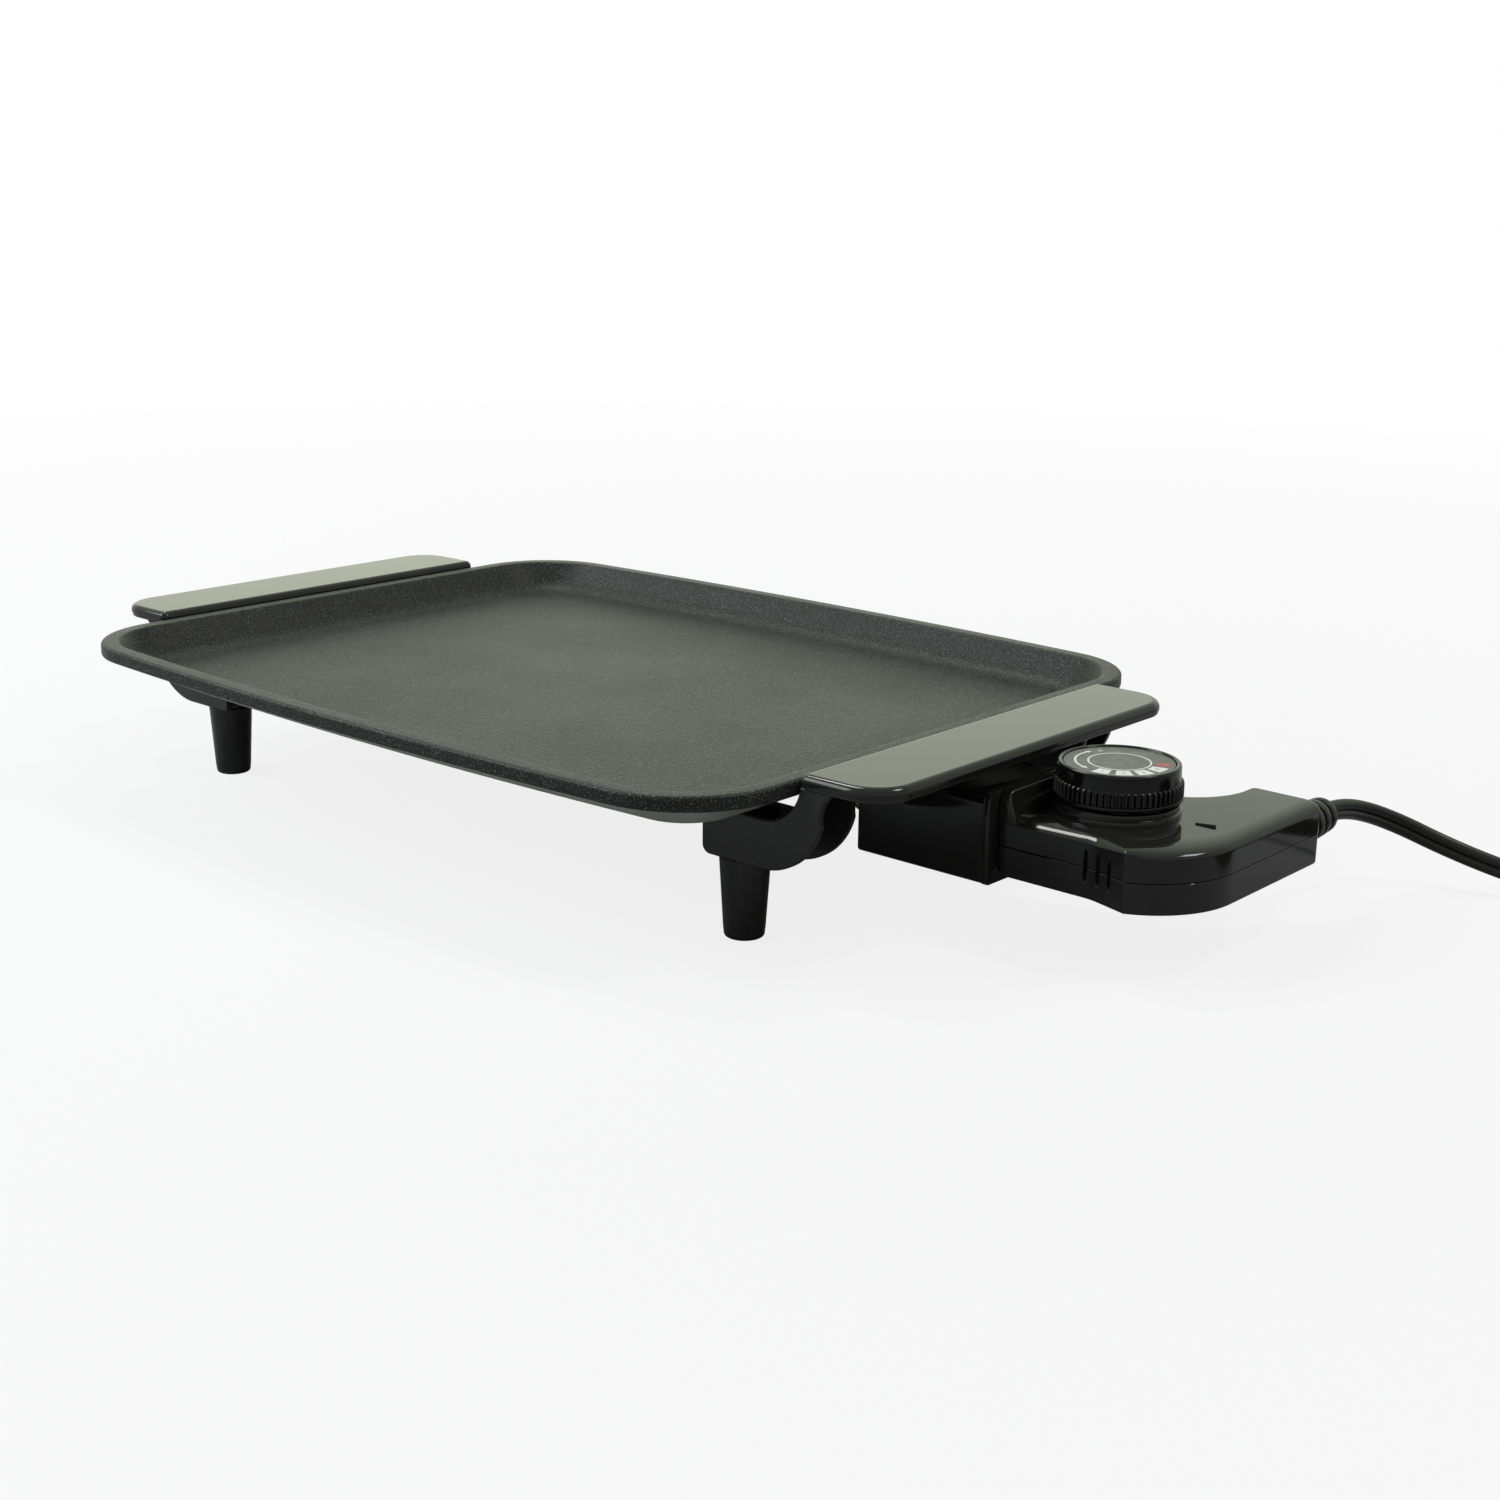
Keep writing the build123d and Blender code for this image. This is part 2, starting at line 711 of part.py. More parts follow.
switch_front_x = insert_rear_x + 3.2
switch_back_x = switch_front_x + 36.0
switch_side_y = dial_y - 12.0
switch_floor = cavity_floor + seat_gap
stack_x = switch_back_x - 9.0
lower_leaf_z = switch_floor + switch_plate + 4.0
upper_leaf_z = lower_leaf_z + leaf_thickness + leaf_gap


def switch_frame():
    """Steel bracket: base on the shell floor, with an upright ear behind the probe."""
    base = block(switch_front_x, switch_back_x, switch_side_y, dial_y + 8.0, switch_floor, switch_floor + switch_plate)
    ear = block(switch_front_x, switch_front_x + switch_plate, min(switch_side_y, -5.0), dial_y + 8.0, switch_floor,
                probe_z + 3.0)
    return base + ear


def contact_stack():
    """Ceramic blocks that clamp the two leaf springs one above the other."""
    base_top = switch_floor + switch_plate
    levels = [
        (base_top, lower_leaf_z),
        (lower_leaf_z + leaf_thickness, upper_leaf_z),
        (upper_leaf_z + leaf_thickness, upper_leaf_z + leaf_thickness + 3.0),
    ]
    half = leaf_width / 2 + 1.0
    return [block(stack_x, switch_back_x, dial_y - half, dial_y + half, z0, z1) for z0, z1 in levels]


def contact_leaf(z):
    reach = dial_x - 6.0
    return block(reach, switch_back_x + 2.0, dial_y - leaf_width / 2, dial_y + leaf_width / 2, z, z + leaf_thickness)


def contact_rivets():
    x = dial_x - 3.0
    middle = lower_leaf_z + leaf_thickness + leaf_gap / 2
    low = post(x, dial_y, lower_leaf_z + leaf_thickness, middle - 0.05, 3.0)
    high = post(x, dial_y, middle + 0.05, upper_leaf_z, 3.0)
    return [low, high]


def lead_wires():
    """Two cores from the boot: one to a contact sleeve, one to the switch."""
    exit_y = boot_inner_y
    near = cord_x + 1.6
    far = cord_x - 1.6
    sleeve_end = insert_rear_x + 2.0
    wire_y = switch_side_y - 5.3
    to_sleeve = FilletPolyline(
        (sleeve_end, -element_pitch / 2, pin_z), (sleeve_end + 5.0, -element_pitch / 2, pin_z),
        (switch_back_x + 2.6, wire_y, pin_z - 2.0), (near - 9.6, wire_y + 6.0, pin_z - 2.0),
        (near, wire_y + 24.0, cord_z), (near, exit_y, cord_z),
        radius=4 * [wire_bend])
    leaf_end = switch_back_x + 2.0
    z = upper_leaf_z + leaf_thickness / 2
    to_switch = FilletPolyline(
        (leaf_end, dial_y, z), (leaf_end + 4.5, dial_y, z), (far, dial_y + 18.0, cord_z), (far, exit_y, cord_z),
        radius=2 * [wire_bend])
    return [swept_tube(to_sleeve, wire_diameter), swept_tube(to_switch, wire_diameter)]


# Dial
def spindle_bush():
    """Threaded bush in the roof of the housing, with a flange below it."""
    bore = spindle_diameter + 2 * running_clearance
    body = post(dial_x, dial_y, cavity_roof, control_top + collar_height - 1.0, bush_diameter)
    body += post(dial_x, dial_y, cavity_roof - 2.0, cavity_roof, bush_diameter + 5.0)
    return body - post(dial_x, dial_y, cavity_roof - 2.0, control_top + collar_height, bore)


def dial_spindle():
    foot = upper_leaf_z + leaf_thickness + seat_gap
    return post(dial_x, dial_y, foot, knob_bottom + knob_height - dial_recess - knob_wall, spindle_diameter)


def dial_knob():
    """Two-step round knob with fine ribs on its skirt, a hub underneath and a shallow dish on top."""
    top = knob_bottom + knob_height
    step = knob_bottom + knob_skirt_height
    skirt = post(0, 0, knob_bottom, step, knob_skirt_diameter)
    crown = post(0, 0, step, top, knob_top_diameter)
    body = skirt + crown
    rib_band = knob_skirt_height - 1.8
    for index in range(knob_ribs):
        groove = Pos(knob_skirt_diameter / 2, 0, step - rib_band / 2 + 0.5) * Box(
            2 * knob_rib_depth, 1.1, rib_band + 1.0)
        body -= Rot(0, 0, index * 360 / knob_ribs) * groove
    body -= post(0, 0, top - dial_recess, top, dial_plate_diameter + 2 * running_clearance)
    roof = top - dial_recess - knob_wall
    body -= post(0, 0, knob_bottom, roof, knob_top_diameter - 2 * knob_wall)
    body += post(0, 0, knob_bottom + 1.4, roof + 0.5, spindle_diameter + 6.0)
    body -= post(0, 0, knob_bottom, roof, spindle_diameter + 0.04)
    return Pos(dial_x, dial_y, 0) * body


def dial_plate():
    seat = knob_bottom + knob_height - dial_recess
    return post(dial_x, dial_y, seat, seat + dial_plate_thickness, dial_plate_diameter)


# Lead
boot_inner_y = tail_end_y - shell_wall - boot_flange_length - seat_gap


def cord_boot():
    """Moulded strain relief: flange inside the wall, neck through it, tapered ribbed tail outside."""
    wall_inside = tail_end_y - shell_wall - seat_gap
    body = rod_along_y(cord_x, boot_inner_y, wall_inside, cord_z, boot_flange_diameter)
    body += rod_along_y(cord_x, wall_inside, tail_end_y + seat_gap, cord_z, boot_neck_diameter)
    root = boot_root_diameter / 2
    tip = boot_tip_diameter / 2
    tail = make_face(Polyline(
        (0, tail_end_y + seat_gap), (root, tail_end_y + seat_gap), (tip, cord_start_y), (0, cord_start_y), close=True))
    taper = revolve(tail, Axis.Y)
    for index in range(boot_grooves):
        y = tail_end_y + boot_length * (0.2 + 0.25 * index)
        ring = rod_along_y(0, y, y + 2.2, 0, boot_root_diameter + 4.0)
        core = root - (y - tail_end_y) / boot_length * (root - tip) - boot_groove
        taper -= ring - rod_along_y(0, y, y + 2.2, 0, 2 * core)
    return body + Pos(cord_x, 0, cord_z) * taper


def route_radii(points):
    """Largest arc at each corner that leaves a tenth of the shorter run straight."""
    radii = []
    for a, b, c in zip(points, points[1:], points[2:]):
        before = Vector(*b) - Vector(*a)
        after = Vector(*c) - Vector(*b)
        half_turn = radians(before.get_angle(after)) / 2
        radii.append(0.45 * min(before.length, after.length) / tan(half_turn))
    return radii


def power_cord():
    radii = route_radii(cord_route)
    path = FilletPolyline(*cord_route, radius=radii)
    tube = swept_tube(path, cord_diameter)
    section = pi * cord_diameter**2 / 4
    print("cord radii", [round(r) for r in radii], "length", round(path.length, 1),
          "volume over section", round(tube.volume / section, 1))
    return tube


coil_start = Vector(*cord_route[-1])
coil_heading = (coil_start - Vector(*cord_route[-2])).normalized()
coil_right = Vector(coil_heading.Y, -coil_heading.X, 0)


def coil_point(turn):
    """Place on the coil after some turns: in along the lower layer, up, and out along the upper one."""
    flat = coil_turns_per_layer
    total = 2 * flat + 0.5
    slack = 0.25
    from_middle = turn - total / 2
    if abs(from_middle) >= slack:
        radius = coil_radius - coil_pitch * (flat - (abs(from_middle) - slack))
    else:
        radius = coil_radius - coil_pitch * (flat + slack / 2 - from_middle**2 / (2 * slack))
    share = min(max((from_middle + slack) / (2 * slack), 0.0), 1.0)
    height = coil_lift * share * share * (3 - 2 * share)
    angle = 2 * pi * turn
    centre = coil_start + coil_heading * cord_diameter + coil_right * coil_radius
    return centre + (coil_heading * sin(angle) - coil_right * cos(angle)) * radius + Vector(0, 0, height)


def biarc(start, start_dir, end, end_dir):
    """Two arcs, tangent to each other and to the two given directions."""
    gap = end - start
    both = start_dir + end_dir
    a = 2 * (1 - start_dir.dot(end_dir))
    b = 2 * gap.dot(both)
    reach = (-b + sqrt(b * b + 4 * a * gap.dot(gap))) / (2 * a)
    middle = (start + start_dir * reach + end - end_dir * reach) / 2
    first = TangentArc(start, middle, tangent=start_dir)
    second = TangentArc(middle, end, tangent=first % 1)
    return [first, second]


def coil_path():
    total = 2 * coil_turns_per_layer + 0.5
    steps = round(total * 4)
    turns = [total * index / steps for index in range(steps + 1)]
    nudge = 1e-4

    def heading(turn):
        return (coil_point(turn + nudge) - coil_point(turn - nudge)).normalized()

    first = coil_point(0)
    last = coil_point(total)
    headings = [heading(turn) for turn in turns]
    headings[0] = coil_heading
    headings[-1] = coil_heading
    edges = [Line(first - coil_heading * cord_diameter, first)]
    for (turn_a, head_a), (turn_b, head_b) in zip(zip(turns, headings), zip(turns[1:], headings[1:])):
        edges += biarc(coil_point(turn_a), head_a, coil_point(turn_b), head_b)
    edges.append(Line(last, last + coil_heading * coil_tail))
    return Wire(edges)


def coil_least_gap():
    """Least distance between neighbouring turns, measured on points."""
    total = 2 * coil_turns_per_layer + 0.5
    per_turn = 48
    points = [coil_point(index / per_turn) for index in range(round(total * per_turn) + 1)]
    least = coil_radius
    for i, a in enumerate(points):
        for b in points[i + per_turn // 2:]:
            least = min(least, (a - b).length)
    return least - cord_diameter


def cord_coil():
    path = coil_path()
    tube = swept_tube(path, cord_diameter)
    section = pi * cord_diameter**2 / 4
    print("coil length", round(path.length, 1), "volume over section", round(tube.volume / section, 1),
          "least gap", round(coil_least_gap(), 2))
    return tube


def cord_tie():
    """Flat band round all the turns at the side of the coil that faces away from its ends."""
    centre = coil_start + coil_heading * cord_diameter + coil_right * coil_radius
    inner_radius = coil_radius - coil_pitch * (coil_turns_per_layer + 0.25)
    near = inner_radius - cord_diameter / 2 - tie_gap - 1.0
    far = coil_radius + cord_diameter / 2 + tie_gap
    low = coil_rest - cord_diameter / 2 - tie_gap
    high = coil_rest + coil_lift + cord_diameter / 2 + tie_gap
    place = Plane(origin=(centre.X, centre.Y, 0), x_dir=coil_right, z_dir=(0, 0, 1))
    middle = ((near + far) / 2, 0, (low + high) / 2)
    inside = Box(far - near, 3 * tie_width, high - low)
    outside = Box(far - near + 2 * tie_thickness, tie_width, high - low + 2 * tie_thickness)
    outside = fillet(outside.edges().filter_by(Axis.Y), 2.0)
    inside = fillet(inside.edges().filter_by(Axis.Y), 1.2)
    return place * Pos(*middle) * (outside - inside)


def plug_place():
    start = coil_point(2 * coil_turns_per_layer + 0.5) + coil_heading * coil_tail
    return Plane(origin=start, x_dir=coil_heading, z_dir=(0, 0, 1))


def plug_body():
    """Moulded two-blade plug lying on its side, with its own tapered relief."""
    back = Plane.YZ.offset(plug_boot_length)
    front = Plane.YZ.offset(plug_boot_length + plug_length)
    neck = Plane.YZ * Circle(cord_diameter / 2 + 1.2)
    body = loft([neck, back * Circle(cord_diameter / 2 + 3.5)])
    back_face = back * RectangleRounded(plug_width * 0.72, 1.5 * plug_half_height, plug_corner)
    front_face = front * RectangleRounded(plug_width, 2 * plug_half_height, plug_corner)
    body += loft([back_face, front_face])
    return plug_place() * body


def plug_blades():
    front = plug_boot_length + plug_length
    blades = []
    for sy in (-1, 1):
        y = sy * blade_spacing / 2
        blade = block(front, front + blade_length, y - blade_thickness / 2, y + blade_thickness / 2,
                      -blade_width / 2, blade_width / 2)
        hole = rod_along_y(front + blade_length - 4.0, y - 2.0, y + 2.0, 0, 3.0)
        blades.append(plug_place() * (blade - hole))
    return blades


# Griddle
save("griddle_plate", griddle_plate())
save("heating_element", swept_tube(element_path(), element_diameter))
pins = [rod(tube_end_x, pin_end_x, sy * element_pitch / 2, pin_z, pin_diameter) for sy in (-1, 1)]
save("element_pins", *pins)
beads = []
for pin_side in (-1, 1):
    ring = rod(tube_end_x, tube_end_x + bead_length, pin_side * element_pitch / 2, pin_z, element_diameter)
    bore = pin_diameter + 2 * running_clearance
    beads.append(ring - rod(tube_end_x, tube_end_x + bead_length, pin_side * element_pitch / 2, pin_z, bore))
save("element_end_beads", *beads)
save("element_clips", *[element_clip(x, y) for x, y in clip_places()])
clip_seat = plate_underside - clip_thickness
clip_screws = []
for clip_x, clip_y in clip_places():
    for side in (-1, 1):
        clip_screws.append(screw_up(clip_x, clip_y + side * clip_screw_offset, clip_seat, plate_underside + 1.6))
save("clip_screws", *clip_screws)
right_cover = handle_cover()
right_frame = handle_frame()
right_screws = handle_screws()
save("right_handle_cover", right_cover)
save("left_handle_cover", both_ends(right_cover))
save("right_handle_frame", right_frame)
save("left_handle_frame", both_ends(right_frame))
save("right_handle_screws", *right_screws)
save("left_handle_screws", *[both_ends(screw) for screw in right_screws])
for end_name, end_side in (("left", -1), ("right", 1)):
    for row_name, row_side in (("front", -1), ("rear", 1)):
        save(f"{row_name}_{end_name}_leg", leg(end_side * leg_x, row_side * leg_y))
save("leg_screws", *[screw_up(x, y, screw_head_depth, plate_underside + 1.0) for x, y in leg_places()])
save("socket_housing", socket_housing())
socket_seat = socket_low_top - socket_wall
save("socket_screws", *[screw_up(x, y, socket_seat, socket_low_top + 4.6) for x, y in socket_screw_places()])

# Control
save("control_top_shell", control_top_shell())
save("control_bottom_shell", control_bottom_shell())
save("shell_screws", *shell_screws())
save("nose_insert", nose_insert())
save("contact_sleeves", *contact_sleeves())
save("sensor_probe", sensor_probe())
save("switch_frame", switch_frame())
save("contact_stack", *contact_stack())
save("lower_contact_leaf", contact_leaf(lower_leaf_z))
save("upper_contact_leaf", contact_leaf(upper_leaf_z))
save("contact_rivets", *contact_rivets())
save("lead_wires", *lead_wires())
save("spindle_bush", spindle_bush())
save("cord_boot", cord_boot())
save("power_cord", power_cord())
save("cord_coil", cord_coil())
save("cord_tie", cord_tie())
save("plug_body", plug_body())
save("plug_blades", *plug_blades())

# Dial
save("dial_knob", dial_knob())
save("dial_plate", dial_plate())
save("dial_spindle", dial_spindle())
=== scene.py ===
# %% [markdown]
# # An electric griddle, dressed in Blender
# The solids of the griddle come from a CAD model: a cast plate on four legs, two handles, and a
# control that pulls out of its socket. They load as a fixed frame. This lesson puts finer surfaces
# in the place of the solids that show, gives every piece a finish, and sets it up for a picture.

import bmesh
import bpy
import numpy as np
from mathutils import Matrix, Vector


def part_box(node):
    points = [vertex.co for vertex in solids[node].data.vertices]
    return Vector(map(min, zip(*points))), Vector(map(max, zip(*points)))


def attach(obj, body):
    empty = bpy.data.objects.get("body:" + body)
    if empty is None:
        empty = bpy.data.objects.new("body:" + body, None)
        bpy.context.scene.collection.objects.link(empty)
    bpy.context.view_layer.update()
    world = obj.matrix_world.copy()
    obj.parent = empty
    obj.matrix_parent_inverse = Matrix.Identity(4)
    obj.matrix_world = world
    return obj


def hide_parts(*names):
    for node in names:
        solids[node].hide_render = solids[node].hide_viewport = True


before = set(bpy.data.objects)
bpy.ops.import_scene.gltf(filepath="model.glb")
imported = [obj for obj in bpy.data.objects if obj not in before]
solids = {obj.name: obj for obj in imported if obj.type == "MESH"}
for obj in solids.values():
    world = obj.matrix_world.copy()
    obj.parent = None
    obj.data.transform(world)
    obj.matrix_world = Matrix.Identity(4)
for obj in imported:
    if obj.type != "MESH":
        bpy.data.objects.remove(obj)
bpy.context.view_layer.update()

# %% [markdown]
# ## Where the measures start
# Every size below is in millimetres, from a point on the table under the middle of the plate, which
# is how a maker would dimension the pan. The CAD frame is in metres, with its origin elsewhere, so
# one function moves points from the maker's measures into the frame.

# %% From millimetres into the frame
plate_low, plate_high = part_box("griddle_plate")
PLATE_MIDDLE = np.array([(plate_low[0] + plate_high[0]) / 2, 0.0, 0.0])


def in_frame(points):
    """Points in the frame: the millimetres divided by a thousand, plus the middle of the plate."""
    return np.asarray(points, float) / 1000 + PLATE_MIDDLE


print("Middle of the plate in the frame:", PLATE_MIDDLE.round(4).tolist())

# %% [markdown]
# ## The camera
# A product picture is taken from a little above the table and from a corner, so that the pan, one
# handle and the control all show. The lens and place below were found by matching corners of the
# plate in the picture. Building the three axes by hand keeps the small roll of the real camera.

# %% Camera
IMAGE_PIXELS = 1500
FOCAL_PIXELS = 2145.55
SENSOR_WIDTH = 36.0
EYE = in_frame((684.47, -675.03, 291.01))
YAW, PITCH, ROLL = -0.72143, 0.26976, 0.01305

ahead = np.array([np.sin(YAW) * np.cos(PITCH), np.cos(YAW) * np.cos(PITCH), -np.sin(PITCH)])
level = np.array([np.cos(YAW), -np.sin(YAW), 0.0])
upright = np.cross(level, ahead)
camera_right = np.cos(ROLL) * level + np.sin(ROLL) * upright
camera_up = np.cos(ROLL) * upright - np.sin(ROLL) * level


def new_object(name, data):
    """Object that shows the data, linked to the scene."""
    made = bpy.data.objects.new(name, data)
    bpy.context.scene.collection.objects.link(made)
    return made


def stand(thing, right, up, back, place):
    """Puts a thing at a place, with its own three axes along right, up and back."""
    columns = np.column_stack([right, up, back, place])
    thing.matrix_world = Matrix(columns.tolist() + [[0.0, 0.0, 0.0, 1.0]])


camera_data = bpy.data.cameras.new("product_camera")
camera_data.sensor_width = SENSOR_WIDTH
camera_data.lens = SENSOR_WIDTH * FOCAL_PIXELS / IMAGE_PIXELS
camera = new_object("product_camera", camera_data)
stand(camera, camera_right, camera_up, -ahead, EYE)
bpy.context.scene.camera = camera
print("Lens:", round(camera_data.lens, 2), "mm, eye at", EYE.round(3).tolist())

# %% [markdown]
# ## From grids of points to pieces
# Almost every moulded or cast piece here is a grid: a loop that runs round the piece, and a profile
# that runs from its bottom to its top. `skin` turns such a grid into faces, and `make_piece` joins
# skins into one object. Doubled points are merged before the faces are turned outwards, because
# the seam of a ring would otherwise stay open.

# %% Skins and pieces
WELD = 2e-6


def skin(grid, ring=False, closed=False, caps=(), finish=0):
    """Faces over a grid of points (rows, columns, 3): each point, its neighbours and the one between.

    ring joins the last row to the first and closed the last column to the first. Each column named
    in caps becomes one flat face. finish is one number, or one for each strip between columns.
    """
    rows, columns = grid.shape[:2]
    number = np.arange(rows * columns).reshape(rows, columns)
    loops = [number[:, column] for column in caps]
    if ring:
        number = np.concatenate([number, number[:1]])
    if closed:
        number = np.concatenate([number, number[:, :1]], axis=1)
    faces = np.stack([number[:-1, :-1], number[1:, :-1], number[1:, 1:], number[:-1, 1:]], axis=-1)
    strips = np.broadcast_to(finish, faces.shape[1])
    kinds = np.concatenate([np.tile(strips, faces.shape[0]), [strips[column] for column in caps]])
    return grid.reshape(-1, 3), faces.reshape(-1, 4), loops, kinds.astype(int)


def capped(grid, finish=0):
    """Skin of a grid whose rows run round, with a flat face over its first and its last column."""
    return skin(grid, ring=True, caps=(0, -1), finish=finish)


def mesh_points(mesh):
    """Points of a mesh as one array."""
    places = np.empty(len(mesh.vertices) * 3)
    mesh.vertices.foreach_get("co", places)
    return places.reshape(-1, 3)


def make_piece(name, skins, finishes, body, stands_for=(), crease=38):
    """One object from several skins: points merged, faces turned outwards, edges over crease left sharp."""
    starts = np.cumsum([0] + [len(points) for points, _, _, _ in skins])
    faces = []
    for start, (_, quads, loops, _) in zip(starts, skins):
        faces += (quads + start).tolist() + [(loop + start).tolist() for loop in loops]
    mesh = bpy.data.meshes.new(name)
    mesh.from_pydata(in_frame(np.concatenate([points for points, _, _, _ in skins])).tolist(), [], faces)
    for material in finishes:
        mesh.materials.append(material)
    mesh.polygons.foreach_set("material_index", np.concatenate([kinds for _, _, _, kinds in skins]))
    shell = bmesh.new()
    shell.from_mesh(mesh)
    bmesh.ops.remove_doubles(shell, verts=shell.verts, dist=WELD)
    bmesh.ops.dissolve_degenerate(shell, edges=shell.edges, dist=WELD)
    bmesh.ops.recalc_face_normals(shell, faces=shell.faces)
    shell.to_mesh(mesh)
    shell.free()
    mesh.shade_smooth()
    mesh.set_sharp_from_angle(angle=np.radians(crease))
    piece = new_object(name, mesh)
    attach(piece, body)
    if stands_for:
        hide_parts(*stands_for)
    size = np.ptp(mesh_points(mesh), axis=0) * 1000
    print(name, "faces:", len(mesh.polygons), "size in mm:", size.round(1).tolist())
    return piece


# %% [markdown]
# ## Round corners and turned shapes
# Two helpers make most outlines. The first rounds the corners of a polygon, each with its own
# radius, and also says which way the outline faces, so that a loop can be moved in or out. The
# second spins a profile about an upright axis, as a lathe does.

# %% Outlines and lathes
def rounded_loop(corners, radii, steps=8):
    """Polygon with round corners, and its outward directions if it runs counter-clockwise.

    A corner of radius r that turns by angle a starts r * tan(a / 2) before the point. Its centre lies
    r to the side that it turns to, and the arc stands r from there on the other side.
    """
    corners = np.asarray(corners, float)
    radii = np.asarray(radii, float)
    before = corners - np.roll(corners, 1, axis=0)
    before /= np.linalg.norm(before, axis=1, keepdims=True)
    after = np.roll(before, -1, axis=0)
    turn = np.arctan2(before[:, 0] * after[:, 1] - before[:, 1] * after[:, 0], (before * after).sum(axis=1))
    side = np.sign(turn) * radii
    start = corners - before * (radii * np.abs(np.tan(turn / 2)))[:, None]
    centre = start + np.stack([-before[:, 1], before[:, 0]], axis=1) * side[:, None]
    heading = np.arctan2(before[:, 1], before[:, 0])[:, None] + turn[:, None] * np.linspace(0, 1, steps)
    facing = np.stack([np.sin(heading), -np.cos(heading)], axis=-1)
    points = centre[:, None, :] + facing * side[:, None, None]
    return points.reshape(-1, 2), facing.reshape(-1, 2)


def around(loop, facing, profile):
    """Grid of a loop carried up a profile of (inset, height): the loop minus inset times its facing."""
    profile = np.asarray(profile, float)
    flat = loop[:, None, :] - facing[:, None, :] * profile[None, :, :1]
    height = np.broadcast_to(profile[None, :, 1:], (len(loop), len(profile), 1))
    return np.concatenate([flat, height], axis=-1)


def lathe(profile, centre, count=72):
    """Grid of a profile of (radius, height) turned about the upright axis through centre."""
    profile = np.asarray(profile, float)
    turn = np.linspace(0, 2 * np.pi, count, endpoint=False)[:, None]
    radius = profile[None, :, 0]
    return np.stack([centre[0] + radius * np.cos(turn), centre[1] + radius * np.sin(turn),
                     np.broadcast_to(profile[None, :, 1], (count, len(profile)))], axis=-1)


square, _ = rounded_loop([(0, 0), (10, 0), (10, 10), (0, 10)], [2, 2, 2, 2])
print("A 10 mm square with 2 mm corners has", len(square), "points")


# %% [markdown]
# ## Finishes from noise
# A moulded or cast surface is never one colour. Each finish below is one Principled shader: what is
# the same all over goes on its sockets, and what changes comes from noise that is measured in the
# object's own space, so that a grain of 1 mm stays 1 mm on every piece.

# %% Helpers for finishes
def new_finish(name, colour, roughness, **sockets):
    """Material with one Principled shader and the values that are the same all over."""
    material = bpy.data.materials.new(name)
    material.use_nodes = True
    shader = material.node_tree.nodes["Principled BSDF"]
    shader.inputs["Base Color"].default_value = (*colour, 1)
    shader.inputs["Roughness"].default_value = roughness
    for socket, value in sockets.items():
        shader.inputs[socket.replace("_", " ")].default_value = value
    return material, shader


def add_node(material, kind, inputs, **settings):
    """New shader node, with each input either linked to another node's output or set to a value."""
    made = material.node_tree.nodes.new(kind)
    for setting, value in settings.items():
        setattr(made, setting, value)
    for socket, value in inputs.items():
        if isinstance(value, bpy.types.NodeSocket):
            material.node_tree.links.new(value, made.inputs[socket])
        else:
            made.inputs[socket].default_value = value
    return made


def grain(material, size, detail=2.0, stretch=(1.0, 1.0, 1.0)):
    """Noise from 0 to 1 whose patches are about size millimetres across, drawn out by stretch."""
    place = add_node(material, "ShaderNodeTexCoord", {}).outputs["Object"]
    scale = tuple(1000 / size / pull for pull in stretch)
    mapping = add_node(material, "ShaderNodeMapping", {"Vector": place, "Scale": scale})
    noise = add_node(material, "ShaderNodeTexNoise", {"Vector": mapping.outputs["Vector"], "Scale": 1.0,
                                                      "Detail": detail})
    return noise.outputs["Fac"]


def spread(material, value, start, end, low, high):
    """Value between start and end, carried over to the range from low to high and held there."""
    return add_node(material, "ShaderNodeMapRange", {"Value": value, "From Min": start, "From Max": end,
                                                     "To Min": low, "To Max": high}).outputs["Result"]


def tint(material, factor, low, high):
    """Colour that runs from low to high as the factor runs from 0 to 1."""
    ramp = add_node(material, "ShaderNodeValToRGB", {"Fac": factor})
    ramp.color_ramp.elements[0].color = (*low, 1)
    ramp.color_ramp.elements[1].color = (*high, 1)
    return ramp.outputs["Color"]


def wire(material, shader, **links):
    """Links outputs to the shader's sockets by name."""
    for socket, output in links.items():
        material.node_tree.links.new(output, shader.inputs[socket.replace("_", " ")])


def relief(material, height, depth):
    """Normal of a surface whose height runs over depth millimetres."""
    bump = add_node(material, "ShaderNodeBump", {"Height": height, "Distance": depth / 1000})
    return bump.outputs["Normal"]


# %% [markdown]
# ## Rubber and the lead
# The lead is a flat twin cord: two covered wires side by side, with a groove between them. It comes
# level out of its boot, sinks to the table and runs to a tied coil with the plug beside it. The
# line is a NURBS spline with order 3, which keeps it smooth. The two lobes are then carried along
# points that are read back from that spline.

# %% Rubber
cord_rubber, rubber_shader = new_finish("cord_rubber", (0.006, 0.006, 0.006), 0.4, IOR=1.3)
rubber_grain = grain(cord_rubber, 0.7, 3.0)
rubber_patches = grain(cord_rubber, 14.0)
wire(cord_rubber, rubber_shader,
     Base_Color=tint(cord_rubber, rubber_patches, (0.004, 0.004, 0.004), (0.01, 0.01, 0.0095)),
     Roughness=spread(cord_rubber, rubber_patches, 0.3, 0.7, 0.3, 0.5),
     Normal=relief(cord_rubber, rubber_grain, 0.03))
print("Rubber nodes:", len(cord_rubber.node_tree.nodes))

